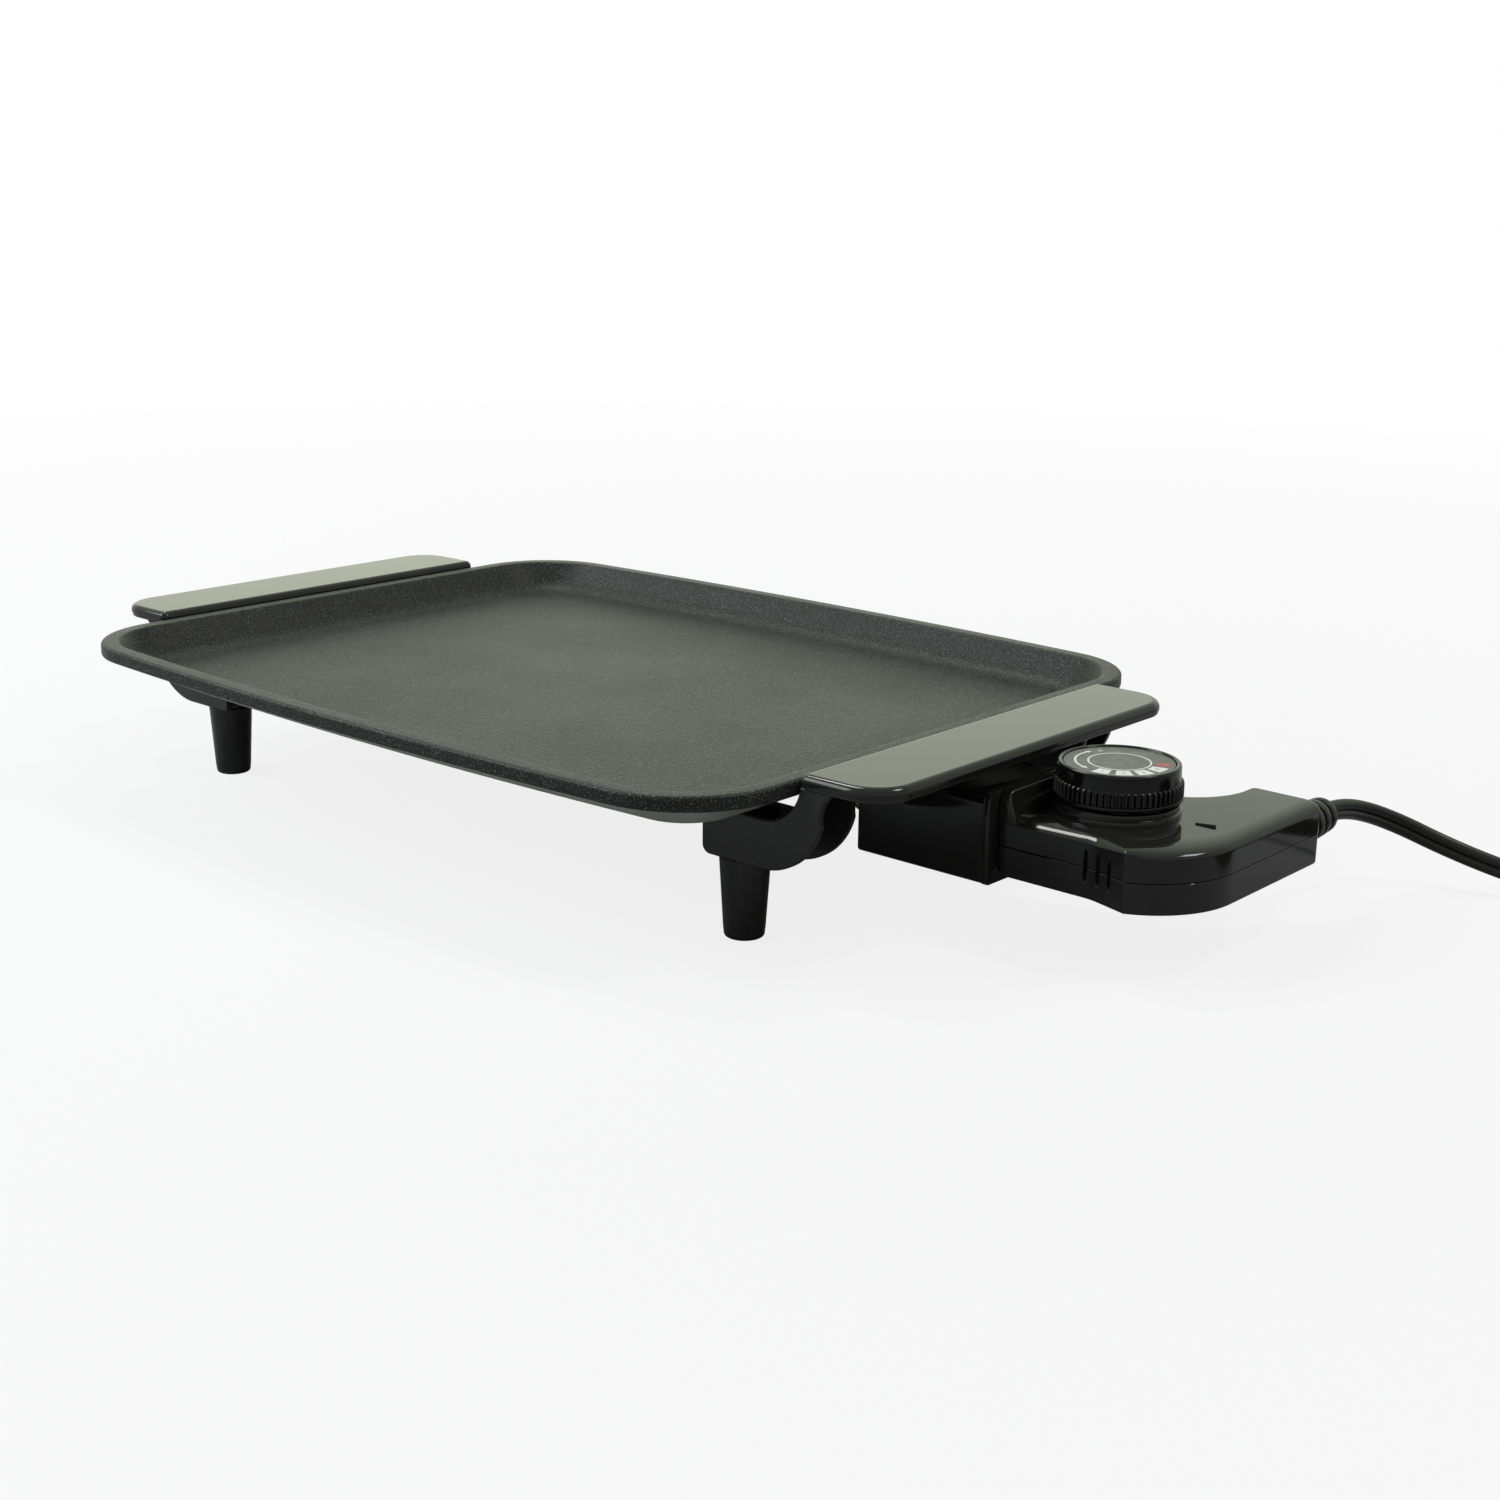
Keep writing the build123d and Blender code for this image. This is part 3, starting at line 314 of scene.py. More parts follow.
# %% Route of the lead
CORD_EXIT = (0.2702, 0.1005, 0.0382)
CORD_ROUTE = np.array([
    CORD_EXIT, (0.2702, 0.1105, 0.0382), (0.2727, 0.13, 0.03399), (0.2822, 0.146, 0.02654),
    (0.2972, 0.1565, 0.01811), (0.3177, 0.162, 0.01196), (0.3427, 0.166, 0.00774),
    (0.3702, 0.169, 0.0058), (0.3982, 0.1715, 0.0058),
])
COIL_RADIUS = 0.054
COIL_PITCH = 0.0096
COIL_LIFT = 0.0092
COIL_TURNS = 1.75
COIL_LEAD = 0.0086
COIL_TAIL = 0.034
POINTS_PER_TURN = 16
SPLINE_PULL = 0.981

heading = CORD_ROUTE[-1] - CORD_ROUTE[-2]
heading /= np.linalg.norm(heading)
sideways = np.array([heading[1], -heading[0], 0.0])


def coil_points():
    """Two flat layers of turns: inwards on the table, up over a quarter turn, outwards on top.

    The radius shrinks by one pitch a turn towards the middle and grows again after it. A quadratic
    spline passes inside its control points, so these stand a little further out.
    """
    turn = np.linspace(0, 2 * COIL_TURNS + 0.5, int((2 * COIL_TURNS + 0.5) * POINTS_PER_TURN) + 1)
    from_middle = turn - COIL_TURNS - 0.25
    wound = COIL_TURNS - (np.abs(from_middle) - 0.25)
    crossing = COIL_TURNS + 0.125 - from_middle**2 / 0.5
    radius = COIL_RADIUS - COIL_PITCH * np.where(np.abs(from_middle) >= 0.25, wound, crossing)
    share = np.clip((from_middle + 0.25) / 0.5, 0, 1)
    height = COIL_LIFT * share**2 * (3 - 2 * share)
    centre = CORD_ROUTE[-1] + heading * COIL_LEAD + sideways * COIL_RADIUS
    angle = 2 * np.pi * turn[:, None]
    out = heading * np.sin(angle) - sideways * np.cos(angle)
    return centre + out * (radius / SPLINE_PULL)[:, None] + np.array([0, 0, 1.0]) * height[:, None]


coil = coil_points()
tail = coil[-1] + heading * np.array([[0.4], [1.0]]) * COIL_TAIL
cord_points = np.concatenate([CORD_ROUTE, coil, tail])
print("Control points of the lead:", len(cord_points))


# %% Spline of the lead
def as_mesh(name, curve):
    """Points and faces of a curve or a letter once it is made a mesh."""
    holder = new_object(name, curve)
    bpy.context.view_layer.update()
    mesh = bpy.data.meshes.new_from_object(holder)
    points = mesh_points(mesh)
    loops = [np.array(face.vertices) for face in mesh.polygons]
    bpy.data.objects.remove(holder)
    bpy.data.meshes.remove(mesh)
    return points, loops


cord_curve = bpy.data.curves.new("cord_line", "CURVE")
cord_curve.dimensions = "3D"
cord_curve.resolution_u = 8
cord_spline = cord_curve.splines.new("NURBS")
cord_spline.points.add(len(cord_points) - 1)
cord_spline.points.foreach_set("co", np.column_stack([cord_points, np.ones(len(cord_points))]).ravel())
cord_spline.order_u = 3
cord_spline.use_endpoint_u = True
cord_line, _ = as_mesh("cord_line", cord_curve)
print("Length of the lead:", np.linalg.norm(np.diff(cord_line, axis=0), axis=1).sum().round(3), "m")

# %% Twin lead
LOBE_RADIUS = 2.3
LOBE_OFFSET = 2.0


def twin_section(count=16):
    """Outline of two round lobes one above the other: across the width, and up it.

    Each lobe is an arc about its own centre that stops where it meets the middle of the groove.
    """
    meet = np.arccos(LOBE_OFFSET / LOBE_RADIUS)
    arc = np.linspace(-np.pi / 2 - (np.pi / 2 - meet), np.pi / 2 + (np.pi / 2 - meet), count)
    upper = np.stack([LOBE_RADIUS * np.sin(arc), LOBE_OFFSET + LOBE_RADIUS * np.cos(arc)], axis=1)
    return np.concatenate([upper[:-1], -upper[:-1]])


def carried(line, section):
    """Grid of a section carried along a line: the line plus the section's width across and height up.

    Across is level, and up stands square to it and to the line.
    """
    along = np.gradient(line, axis=0)
    along /= np.linalg.norm(along, axis=1, keepdims=True)
    across = np.cross(along, (0.0, 0.0, 1.0))
    across /= np.linalg.norm(across, axis=1, keepdims=True)
    rising = np.cross(across, along)
    return line[None] + across[None] * section[:, None, :1] + rising[None] * section[:, None, 1:]


cord_mm = (cord_line - PLATE_MIDDLE) * 1000
cord = make_piece("twin_lead", [capped(carried(cord_mm, twin_section()))], [cord_rubber], "control",
                  ("power_cord", "cord_coil"), crease=70)

# %% [markdown]
# ## Non-stick coating and bare casting
# The plate is cast aluminium. Its top and its lip carry a dark sprayed coating with fine light
# specks, and the underside is bare, dull metal with the marks of the casting. Three noises make the
# coating: a coarse one for the cloudy patches, a fine one whose upper part becomes the specks, which
# sparkle where a wall faces a lamp, and one for the relief.

# %% Coating and casting
coating, coating_shader = new_finish("coated_plate", (0.012, 0.012, 0.011), 0.4, IOR=1.21)
coating_clouds = grain(coating, 70.0, 3.0)
coating_specks = grain(coating, 0.65, 1.0)
coating_grain = grain(coating, 1.1, 2.0)
speck_share = spread(coating, coating_specks, 0.52, 0.8, 0.0, 1.0)
coating_ground = tint(coating, coating_clouds, (0.006, 0.006, 0.0054), (0.013, 0.013, 0.0117))
coating_mix = add_node(coating, "ShaderNodeMix", {"Factor": speck_share}, data_type="RGBA")
coating.node_tree.links.new(coating_ground, coating_mix.inputs["A"])
coating_mix.inputs["B"].default_value = (0.1, 0.114, 0.111, 1)
wire(coating, coating_shader, Base_Color=coating_mix.outputs["Result"],
     Roughness=spread(coating, coating_clouds, 0.3, 0.7, 0.36, 0.44),
     Normal=relief(coating, coating_grain, 0.3))

casting, casting_shader = new_finish("bare_casting", (0.3, 0.3, 0.28), 0.5, Metallic=1.0)
casting_patches = grain(casting, 30.0, 4.0)
casting_skin = grain(casting, 0.8, 3.0)
wire(casting, casting_shader,
     Base_Color=tint(casting, casting_patches, (0.2, 0.2, 0.185), (0.4, 0.4, 0.375)),
     Roughness=spread(casting, casting_patches, 0.3, 0.7, 0.42, 0.6),
     Normal=relief(casting, casting_skin, 0.08))
print("Finishes so far:", [material.name for material in bpy.data.materials if material.users])

# %% [markdown]
# ## The plate
# Seen from above the plate is a rectangle with round corners and long sides that bow out slightly.
# Its section is one closed profile: floor, round hollow, flank, flat rim, lip and belly. Carrying
# that section round the outline gives the whole casting as one grid, so the hollow runs evenly
# through the corners.

# %% Plate outline
PLATE_HALF_LENGTH = 200.0
PLATE_HALF_WIDTH = 159.95
PLATE_CORNER = 44.5
SIDE_BOW = 2300.0
END_POINTS, CORNER_POINTS, SIDE_POINTS = 8, 25, 20


def four_quarters(quarter):
    """Whole loop from its first quarter: mirrored left to right, then front to back."""
    half = np.concatenate([quarter, (quarter[:-1] * (-1, 1))[::-1]])
    return np.concatenate([half[:-1], (half * (1, -1))[::-1][:-1]])


def plate_outline():
    """Straight end, corner arc and bowed side of one quarter, with the directions that they face.

    The corner arc touches both the end line and the wide arc of the side, so its centre lies one
    corner radius inside each of them.
    """
    corner_x = PLATE_HALF_LENGTH - PLATE_CORNER
    bow_y = PLATE_HALF_WIDTH - SIDE_BOW
    corner_y = bow_y + np.sqrt((SIDE_BOW - PLATE_CORNER)**2 - corner_x**2)
    lean = np.arctan2(corner_y - bow_y, corner_x)
    turns = np.concatenate([np.zeros(END_POINTS), np.linspace(0, lean, CORNER_POINTS + 1)[:-1],
                            np.linspace(lean, np.pi / 2, SIDE_POINTS)])
    facing = np.stack([np.cos(turns), np.sin(turns)], axis=1)
    centre = np.concatenate([
        np.linspace((corner_x, 0), (corner_x, corner_y), END_POINTS + 1)[:-1],
        np.broadcast_to((corner_x, corner_y), (CORNER_POINTS, 2)),
        np.broadcast_to((0.0, bow_y), (SIDE_POINTS, 2)),
    ])
    radius = np.repeat([PLATE_CORNER, SIDE_BOW], [END_POINTS + CORNER_POINTS, SIDE_POINTS])
    return four_quarters(centre + radius[:, None] * facing), four_quarters(facing)


plate_loop, plate_facing = plate_outline()
print("Plate outline:", np.ptp(plate_loop, axis=0).round(1).tolist(), "mm")

# %% Plate
PAN_FLOOR, PLATE_UNDERSIDE = 57.5, 54.0
RIM_TOP, LIP_BOTTOM = 71.7, 65.9
FLAT_INSET = 30.0
PLATE_SECTION = [(FLAT_INSET, PAN_FLOOR), (17.96, PAN_FLOOR), (8.0, RIM_TOP), (0.0, RIM_TOP),
                 (0.0, LIP_BOTTOM), (2.5, 64.9), (15.5, 58.75), (25.0, PLATE_UNDERSIDE),
                 (FLAT_INSET, PLATE_UNDERSIDE)]
SECTION_RADII = [0.0, 13.4, 2.2, 1.7, 1.2, 0.8, 8.0, 6.0, 0.0]
FLAT_SHARES = np.array([0.25, 0.55, 0.8, 0.95])
COATED_CORNERS = 5
SECTION_STEPS = 8

section, _ = rounded_loop(PLATE_SECTION, SECTION_RADII, SECTION_STEPS)
flats = len(FLAT_SHARES)
inset = np.concatenate([np.full(flats, FLAT_INSET), section[:, 0], np.full(flats, FLAT_INSET)])
height = np.concatenate([np.full(flats, PAN_FLOOR), section[:, 1], np.full(flats, PLATE_UNDERSIDE)])
share = np.concatenate([FLAT_SHARES, np.ones(len(section)), FLAT_SHARES[::-1]])
plate_grid = around(plate_loop, plate_facing, np.column_stack([inset, height]))
plate_grid[:, :, :2] *= share[None, :, None]
first_bare = flats + COATED_CORNERS * SECTION_STEPS - 2
strip_finish = np.where(np.arange(len(share) - 1) >= first_bare, 1, 0)
plate_skins = [capped(plate_grid, finish=strip_finish)]

# %% [markdown]
# ## Bosses under the plate
# Under the plate stand small cast bosses: a block in front of the socket, which the heat sensor
# reaches into, and a round pad over each leg, which takes its screw. They are part of the same
# casting, so they join the plate's mesh. Each is a loop with a softened edge.

# %% Bosses
BOSS_INNER, BOSS_OUTER, BOSS_HALF = 150.3, 174.3, 6.2
BOSS_BOTTOM, BOSS_TOP, BOSS_EDGE = 37.8, 54.5, 1.2
PAD_PROFILE = [(6.2, 50.0), (7.0, 50.8), (7.0, BOSS_TOP)]
LEG_X, LEG_Y = 166.2, 87.8
boss_loop, boss_facing = rounded_loop(
    [(BOSS_INNER, -BOSS_HALF), (BOSS_OUTER, -BOSS_HALF), (BOSS_OUTER, BOSS_HALF), (BOSS_INNER, BOSS_HALF)],
    [1.5] * 4, 4)
boss_profile = [(BOSS_EDGE, BOSS_BOTTOM), (0.35, BOSS_BOTTOM + 0.35), (0.0, BOSS_BOTTOM + BOSS_EDGE),
                (0.0, BOSS_TOP)]
plate_skins.append(capped(around(boss_loop, boss_facing, boss_profile), finish=1))
for x in (-LEG_X, LEG_X):
    for y in (-LEG_Y, LEG_Y):
        plate_skins.append(capped(lathe(PAD_PROFILE, (x, y), 28), finish=1))
make_piece("cast_plate", plate_skins, [coating, casting], "griddle", ("griddle_plate",))

# %% [markdown]
# ## Black plastics
# Three blacks are moulded here. Covers, socket and control are polished and mirror the studio.
# Frames and legs come from a dull mould and scatter the light, and the knob lies between them. A
# faint waviness bends the reflections as real mouldings do, and a little dust lifts the roughness.

# %% Black plastics
def black_plastic(name, colour, roughness, wave, texture):
    """Black moulding: patches change colour and roughness, slow waves and a fine texture bend the light."""
    material, shader = new_finish(name, colour, roughness, IOR=1.3)
    patches = grain(material, 22.0, 3.0)
    dust = grain(material, 0.9, 2.0)
    waves = relief(material, grain(material, 30.0, 1.0), wave)
    fine = add_node(material, "ShaderNodeBump", {"Height": grain(material, 0.45, 1.0),
                                                 "Distance": texture / 1000, "Normal": waves})
    patchy = spread(material, patches, 0.3, 0.7, 0.8, 1.2)
    dusty = spread(material, dust, 0.6, 0.8, roughness, roughness * 1.6)
    rough = add_node(material, "ShaderNodeMath", {0: patchy, 1: dusty}, operation="MULTIPLY")
    lighter = tuple(part * 1.5 for part in colour)
    wire(material, shader, Base_Color=tint(material, patches, colour, lighter),
         Roughness=rough.outputs["Value"], Normal=fine.outputs["Normal"])
    return material


black_gloss = black_plastic("black_gloss", (0.009, 0.009, 0.0085), 0.07, 0.03, 0.0005)
black_satin = black_plastic("black_satin", (0.012, 0.012, 0.0115), 0.28, 0.02, 0.004)
knob_black = black_plastic("knob_black", (0.002, 0.002, 0.0019), 0.14, 0.01, 0.001)
print("Black plastics:", black_gloss.name, black_satin.name, knob_black.name)

# %% [markdown]
# ## Handle covers and frames
# Each handle is a flat polished cover over a thin deck, with large corners on the outside and small
# ones beside the pan. The deck is half a millimetre smaller, which leaves a dark line between the
# two. Both are loops carried up a short profile, and the left handle is the right one mirrored.

# %% Handle covers
HANDLE_INNER, HANDLE_OUTER, HANDLE_HALF = 201.5, 241.0, 99.3
HANDLE_TOP, COVER_BOTTOM, DECK_BOTTOM = 74.5, 70.3, 68.9
COVER_EDGE = 3.0
OUTER_CORNER, INNER_CORNER = 17.5, 3.3

quarter_turn = np.linspace(0, np.pi / 2, 9)
handle_loop, handle_facing = rounded_loop(
    [(HANDLE_INNER, -HANDLE_HALF), (HANDLE_OUTER, -HANDLE_HALF), (HANDLE_OUTER, HANDLE_HALF),
     (HANDLE_INNER, HANDLE_HALF)], [INNER_CORNER, OUTER_CORNER, OUTER_CORNER, INNER_CORNER], 20)
cover_round = np.column_stack([COVER_EDGE * (1 - np.cos(quarter_turn)),
                               HANDLE_TOP - COVER_EDGE * (1 - np.sin(quarter_turn))])
cover_profile = np.concatenate([[(0.9, COVER_BOTTOM), (0.3, COVER_BOTTOM), (0.0, COVER_BOTTOM + 0.3)],
                                cover_round, [(COVER_EDGE + 0.2, HANDLE_TOP)]])
cover_grid = around(handle_loop, handle_facing, cover_profile)
HANDLE_SIDES = {"right": np.array([1.0, 1.0, 1.0]), "left": np.array([-1.0, 1.0, 1.0])}
for name, flip in HANDLE_SIDES.items():
    make_piece(name + "_cover", [capped(cover_grid * flip)], [black_gloss], "griddle",
               (name + "_handle_cover",))

# %% [markdown]
# ## Handle arms
# Two arms carry each handle. An arm is a channel with S-shaped sides: it starts as a bracket under
# the plate, sweeps up past the rim and ends under the deck. The upper and the lower edge of the S
# are worked out as two lines with matching points, and the U-shaped section is stretched between
# them.

# %% Arm edges
ARM_LEFT, ARM_BOTTOM, BRACKET_TOP = 153.7, 33.4, 53.2
ARM_HALF_WIDTH, ARM_WALL, ARM_WEB = 10.7, 2.6, 3.2
BRACKET_END = 176.4
ARM_ROUND = 0.6
ARM_SHUT = 0.02


def arc_points(centre, radius, start, end, count):
    """Points on an arc between two angles in degrees: centre plus radius times cosine and sine."""
    angle = np.radians(np.linspace(start, end, count))
    return np.stack([centre[0] + radius * np.cos(angle), centre[1] + radius * np.sin(angle)], axis=1)


arm_lower = np.concatenate([
    arc_points((ARM_LEFT + 3, ARM_BOTTOM + 3), 3.0, 180, 270, 7),
    np.linspace((157.5, ARM_BOTTOM), (BRACKET_END, ARM_BOTTOM), 5),
    np.linspace((BRACKET_END + 0.02, ARM_BOTTOM), (182.8, ARM_BOTTOM), 3),
    arc_points((182.8, 63.4), 30.0, -88, -16, 24),
    arc_points((224.83, 58.2), 13.55, 192.5, 127.0, 10),
])
arm_upper = np.concatenate([
    np.linspace((ARM_LEFT, BRACKET_TOP), (157.0, BRACKET_TOP), 7),
    np.linspace((157.5, BRACKET_TOP), (BRACKET_END, BRACKET_TOP), 5),
    np.linspace((BRACKET_END + 0.02, BRACKET_TOP), (183.8, BRACKET_TOP), 3),
    arc_points((183.8, 71.2), 18.0, -87, -7.3, 24),
    np.linspace((202.5, DECK_BOTTOM + 0.2), (216.6, DECK_BOTTOM + 0.2), 10),
])
print("Arm edges:", len(arm_lower), "and", len(arm_upper), "points")


# %% Handle frames
def arm_grid(y):
    """Channel between the edges: outer walls, top and inner faces as shares of the way up at each point.

    Under the bracket the channel is closed from below, so there its inner faces lie at the lower edge.
    """
    reach = np.linalg.norm(arm_upper - arm_lower, axis=1)
    edge = np.minimum(ARM_ROUND / reach, 0.2)
    web = np.where(arm_lower[:, 0] <= BRACKET_END, ARM_SHUT, np.clip(1 - ARM_WEB / reach, ARM_SHUT, 1))
    zero, one = np.zeros_like(reach), np.ones_like(reach)
    outer, inner = ARM_HALF_WIDTH, ARM_HALF_WIDTH - ARM_WALL
    across = np.array([-inner, -outer + ARM_ROUND, -outer, -outer, -outer + ARM_ROUND,
                       outer - ARM_ROUND, outer, outer, outer - ARM_ROUND, inner, inner, -inner])
    up = np.stack([zero, zero, edge, 1 - edge, one, one, 1 - edge, edge, zero, zero, web, web])
    side = arm_lower[None] + (arm_upper - arm_lower)[None] * up[:, :, None]
    width = np.broadcast_to((across + y)[:, None], up.shape)
    return np.stack([side[:, :, 0], width, side[:, :, 1]], axis=-1)


deck_profile = [(1.4, DECK_BOTTOM), (0.8, DECK_BOTTOM), (0.5, DECK_BOTTOM + 0.3), (0.5, COVER_BOTTOM),
                (1.2, COVER_BOTTOM)]
deck_grid = around(handle_loop, handle_facing, deck_profile)
frame_grids = [arm_grid(-LEG_Y), arm_grid(LEG_Y), deck_grid]
for name, flip in HANDLE_SIDES.items():
    frame_skins = [capped(grid * flip) for grid in frame_grids]
    make_piece(name + "_frame", frame_skins, [black_satin], "griddle",
               (name + "_handle_frame",), crease=32)

# %% [markdown]
# ## Legs
# The four legs are tapered posts with a softened foot, each held by a screw that goes up through a
# bore. They are turned shapes, so a profile of radius and height is all that is needed.

# %% Legs
FOOT_RADIUS, FOOT_EDGE, FOOT_TOP = 8.0, 1.4, (8.3, 4.0)
LEG_RADIUS, LEG_EDGE = 10.2, 0.6
LEG_BORE, BORE_TOP = 3.7, 21.9
foot_round = arc_points((FOOT_RADIUS - FOOT_EDGE, FOOT_EDGE), FOOT_EDGE, -90, 0, 7)
leg_profile = np.concatenate([
    [(LEG_BORE, BORE_TOP), (LEG_BORE, LEG_EDGE), (LEG_BORE + LEG_EDGE, 0.0)], foot_round,
    np.linspace(FOOT_TOP, (LEG_RADIUS - 0.1, ARM_BOTTOM - LEG_EDGE), 7),
    [(LEG_RADIUS - 0.7, ARM_BOTTOM), (LEG_BORE, ARM_BOTTOM)],
])
for side_name, x in (("left", -LEG_X), ("right", LEG_X)):
    for end_name, y in (("front", -LEG_Y), ("rear", LEG_Y)):
        leg_skin = skin(lathe(leg_profile, (x, y)), ring=True, closed=True)
        make_piece(f"{end_name}_{side_name}_foot", [leg_skin], [black_satin], "griddle",
                   (f"{end_name}_{side_name}_leg",))

# %% [markdown]
# ## Socket
# The socket is a box under the rim that opens towards the control, with a raised flange round its
# mouth. Its walls are one skin that runs along the outside, over the flange and back along the
# inside, so the mouth has a real thickness.

# %% Socket
SOCKET_STATIONS = [
    # x, half width, bottom, top, radius of the lower corners, radius of the upper corners
    (174.6, 28.8, 23.5, 51.8, 1.2, 1.2), (174.85, 29.35, 22.95, 52.35, 1.4, 1.4),
    (175.4, 29.6, 22.7, 52.6, 1.6, 1.6), (196.6, 29.6, 22.7, 52.6, 1.6, 1.6),
    (197.0, 29.6, 22.7, 53.2, 1.6, 1.6), (197.3, 29.6, 22.7, 55.6, 1.6, 1.6),
    (197.8, 29.6, 22.7, 55.9, 1.6, 1.6), (235.3, 29.6, 22.7, 55.9, 1.6, 1.6),
    (235.5, 29.7, 22.7, 56.1, 1.6, 1.7), (235.6, 29.9, 22.7, 59.7, 1.6, 3.2),
    (236.1, 30.2, 22.7, 60.2, 1.6, 3.5), (238.3, 30.2, 22.7, 60.2, 1.6, 3.5),
    (238.65, 30.1, 22.8, 60.1, 1.5, 3.4), (238.8, 29.8, 23.1, 59.8, 1.3, 3.2),
    (238.8, 23.5, 26.9, 50.1, 1.2, 1.2), (238.4, 23.2, 27.2, 49.8, 1.0, 1.0),
    (236.4, 23.2, 27.2, 49.8, 1.0, 1.0), (236.2, 27.1, 25.2, 53.4, 1.0, 1.0),
    (177.1, 27.1, 25.2, 49.9, 1.0, 1.0), (177.1, 25.0, 27.2, 47.9, 0.6, 0.6),
]


def box_section(half_width, bottom, top, lower_radius, upper_radius):
    """Upright rectangle with round corners, as (y, z)."""
    corners = [(-half_width, bottom), (half_width, bottom), (half_width, top), (-half_width, top)]
    return rounded_loop(corners, [lower_radius, lower_radius, upper_radius, upper_radius], 6)[0]


def station_grid(stations):
    """Grid of box sections, each at its own distance along the first axis."""
    loops = np.stack([box_section(*sizes) for _, *sizes in stations], axis=1)
    reach = np.array([station[0] for station in stations])[None, :, None]
    return np.concatenate([np.broadcast_to(reach, loops.shape[:2] + (1,)), loops], axis=-1)


make_piece("socket_box", [capped(station_grid(SOCKET_STATIONS))], [black_gloss], "griddle",
           ("socket_housing",))

# %% [markdown]
# ## Control housing
# The control is an L in plan: a nose that plugs into the socket, a round elbow and a tail for the
# lead. Its top edge is not an even round. It is a tight band along the nose and a wide one round
# the elbow. So the wall follows one outline and the flat top another, with matching points, and a
# parabola joins them, which starts at a slant over the nose and straight up round the elbow. The
# long stretches before some corners get extra points, which the finger grooves need.

# %% Control outlines
CONTROL_BOTTOM, PARTING, CONTROL_TOP = 26.0, 38.2, 51.0
CORNER_STEPS = 40
WALL_CORNERS = [(239.2, -24.4), (256.0, -24.4), (281.0, -24.4), (298.6, -29.5), (322.6, -18.0),
                (322.6, 76.0), (292.0, 76.0), (292.0, 39.5), (253.0, 39.5), (244.2, 24.4),
                (239.2, 24.4)]
WALL_RADII = [1.2, 0.0, 25.0, 1.3, 40.2, 3.5, 2.5, 30.0, 8.0, 4.0, 1.2]
TOP_CORNERS = [(247.5, -19.5), (255.2, -10.9), (280.5, -15.6), (292.8, -19.2), (314.7, 5.3),
               (314.7, 74.6), (293.2, 74.6), (293.0, 40.8), (253.8, 38.0), (246.8, 22.8),
               (246.0, 20.0)]
TOP_RADII = [1.0, 4.0, 25.0, 1.5, 44.0, 2.2, 1.5, 30.0, 6.5, 3.0, 0.8]
EDGE_SLANT = [1, 1, 1, 1, 0, 0, 0, 0, 0, 0, 1]
WALL_TOPS = [47.4, 47.5, 47.8, 49.2, 47.4, 47.6, 49.9, 49.9, 49.9, 49.6, 49.2]
NOSE_STRETCH = (247.0, 262.0)
EXTRA_POINTS = {2: 24, 3: 60, 5: 12}  # number of a corner, and points on the stretch that leads to it
ELBOW_BLEND = 0.35


def refined(values, places):
    """Values read between their own numbers, column by column, so that all of them stay matched."""
    numbers = np.arange(len(values))
    return np.stack([np.interp(places, numbers, column) for column in values.T], axis=1)


wall_loop, wall_facing = rounded_loop(WALL_CORNERS, WALL_RADII, CORNER_STEPS)
wall_loop[CORNER_STEPS:2 * CORNER_STEPS, 0] = np.linspace(*NOSE_STRETCH, CORNER_STEPS)
top_loop, top_facing = rounded_loop(TOP_CORNERS, TOP_RADII, CORNER_STEPS)
stretches = [np.linspace(corner * CORNER_STEPS - 1, corner * CORNER_STEPS, count)
             for corner, count in EXTRA_POINTS.items()]
places = np.unique(np.concatenate([np.arange(len(wall_loop))] + stretches))
step = (np.arange(len(wall_loop)) % CORNER_STEPS) / (CORNER_STEPS - 1)
wall_tops = np.repeat(WALL_TOPS, CORNER_STEPS).astype(float)
elbow = slice(4 * CORNER_STEPS, 5 * CORNER_STEPS)
edge_slant = np.repeat(EDGE_SLANT, CORNER_STEPS).astype(float)
into_elbow = np.clip(1 - step[elbow] / ELBOW_BLEND, 0, 1)**2
wall_tops[elbow] += (WALL_TOPS[3] - WALL_TOPS[4]) * into_elbow
edge_slant[elbow] += into_elbow
control = np.column_stack([wall_loop, wall_facing, top_loop, top_facing, wall_tops, edge_slant])
control = refined(control, places)
wall_loop, wall_facing, top_loop, top_facing = (control[:, start:start + 2] for start in (0, 2, 4, 6))
wall_tops, edge_slant = control[:, 8], control[:, 9]
print("Points round the control:", len(control))

# %% Control shells
SLOT_PLACES = (278.7, 284.6, 290.5)
SLOT_MIDDLE, SLOT_HALF_HEIGHT, SLOT_HALF_WIDTH, SLOT_DEPTH = 38.6, 6.7, 1.05, 2.2
PARTING_GAP, PARTING_LIP, PARTING_DEPTH = 0.12, 0.25, 0.8
WALL_ROWS, EDGE_ROWS, SLANT_LIMIT = 16, 16, 0.8
BOTTOM_INSET, BOTTOM_RISE, TOP_INSET = 1.0, 1.6, 0.3
FRONT_FACING = -0.9
NOSE_FRONT, NOSE_CHIN_TOP, NOSE_CHIN_SLOPE = 239.2, 30.4, 1.1


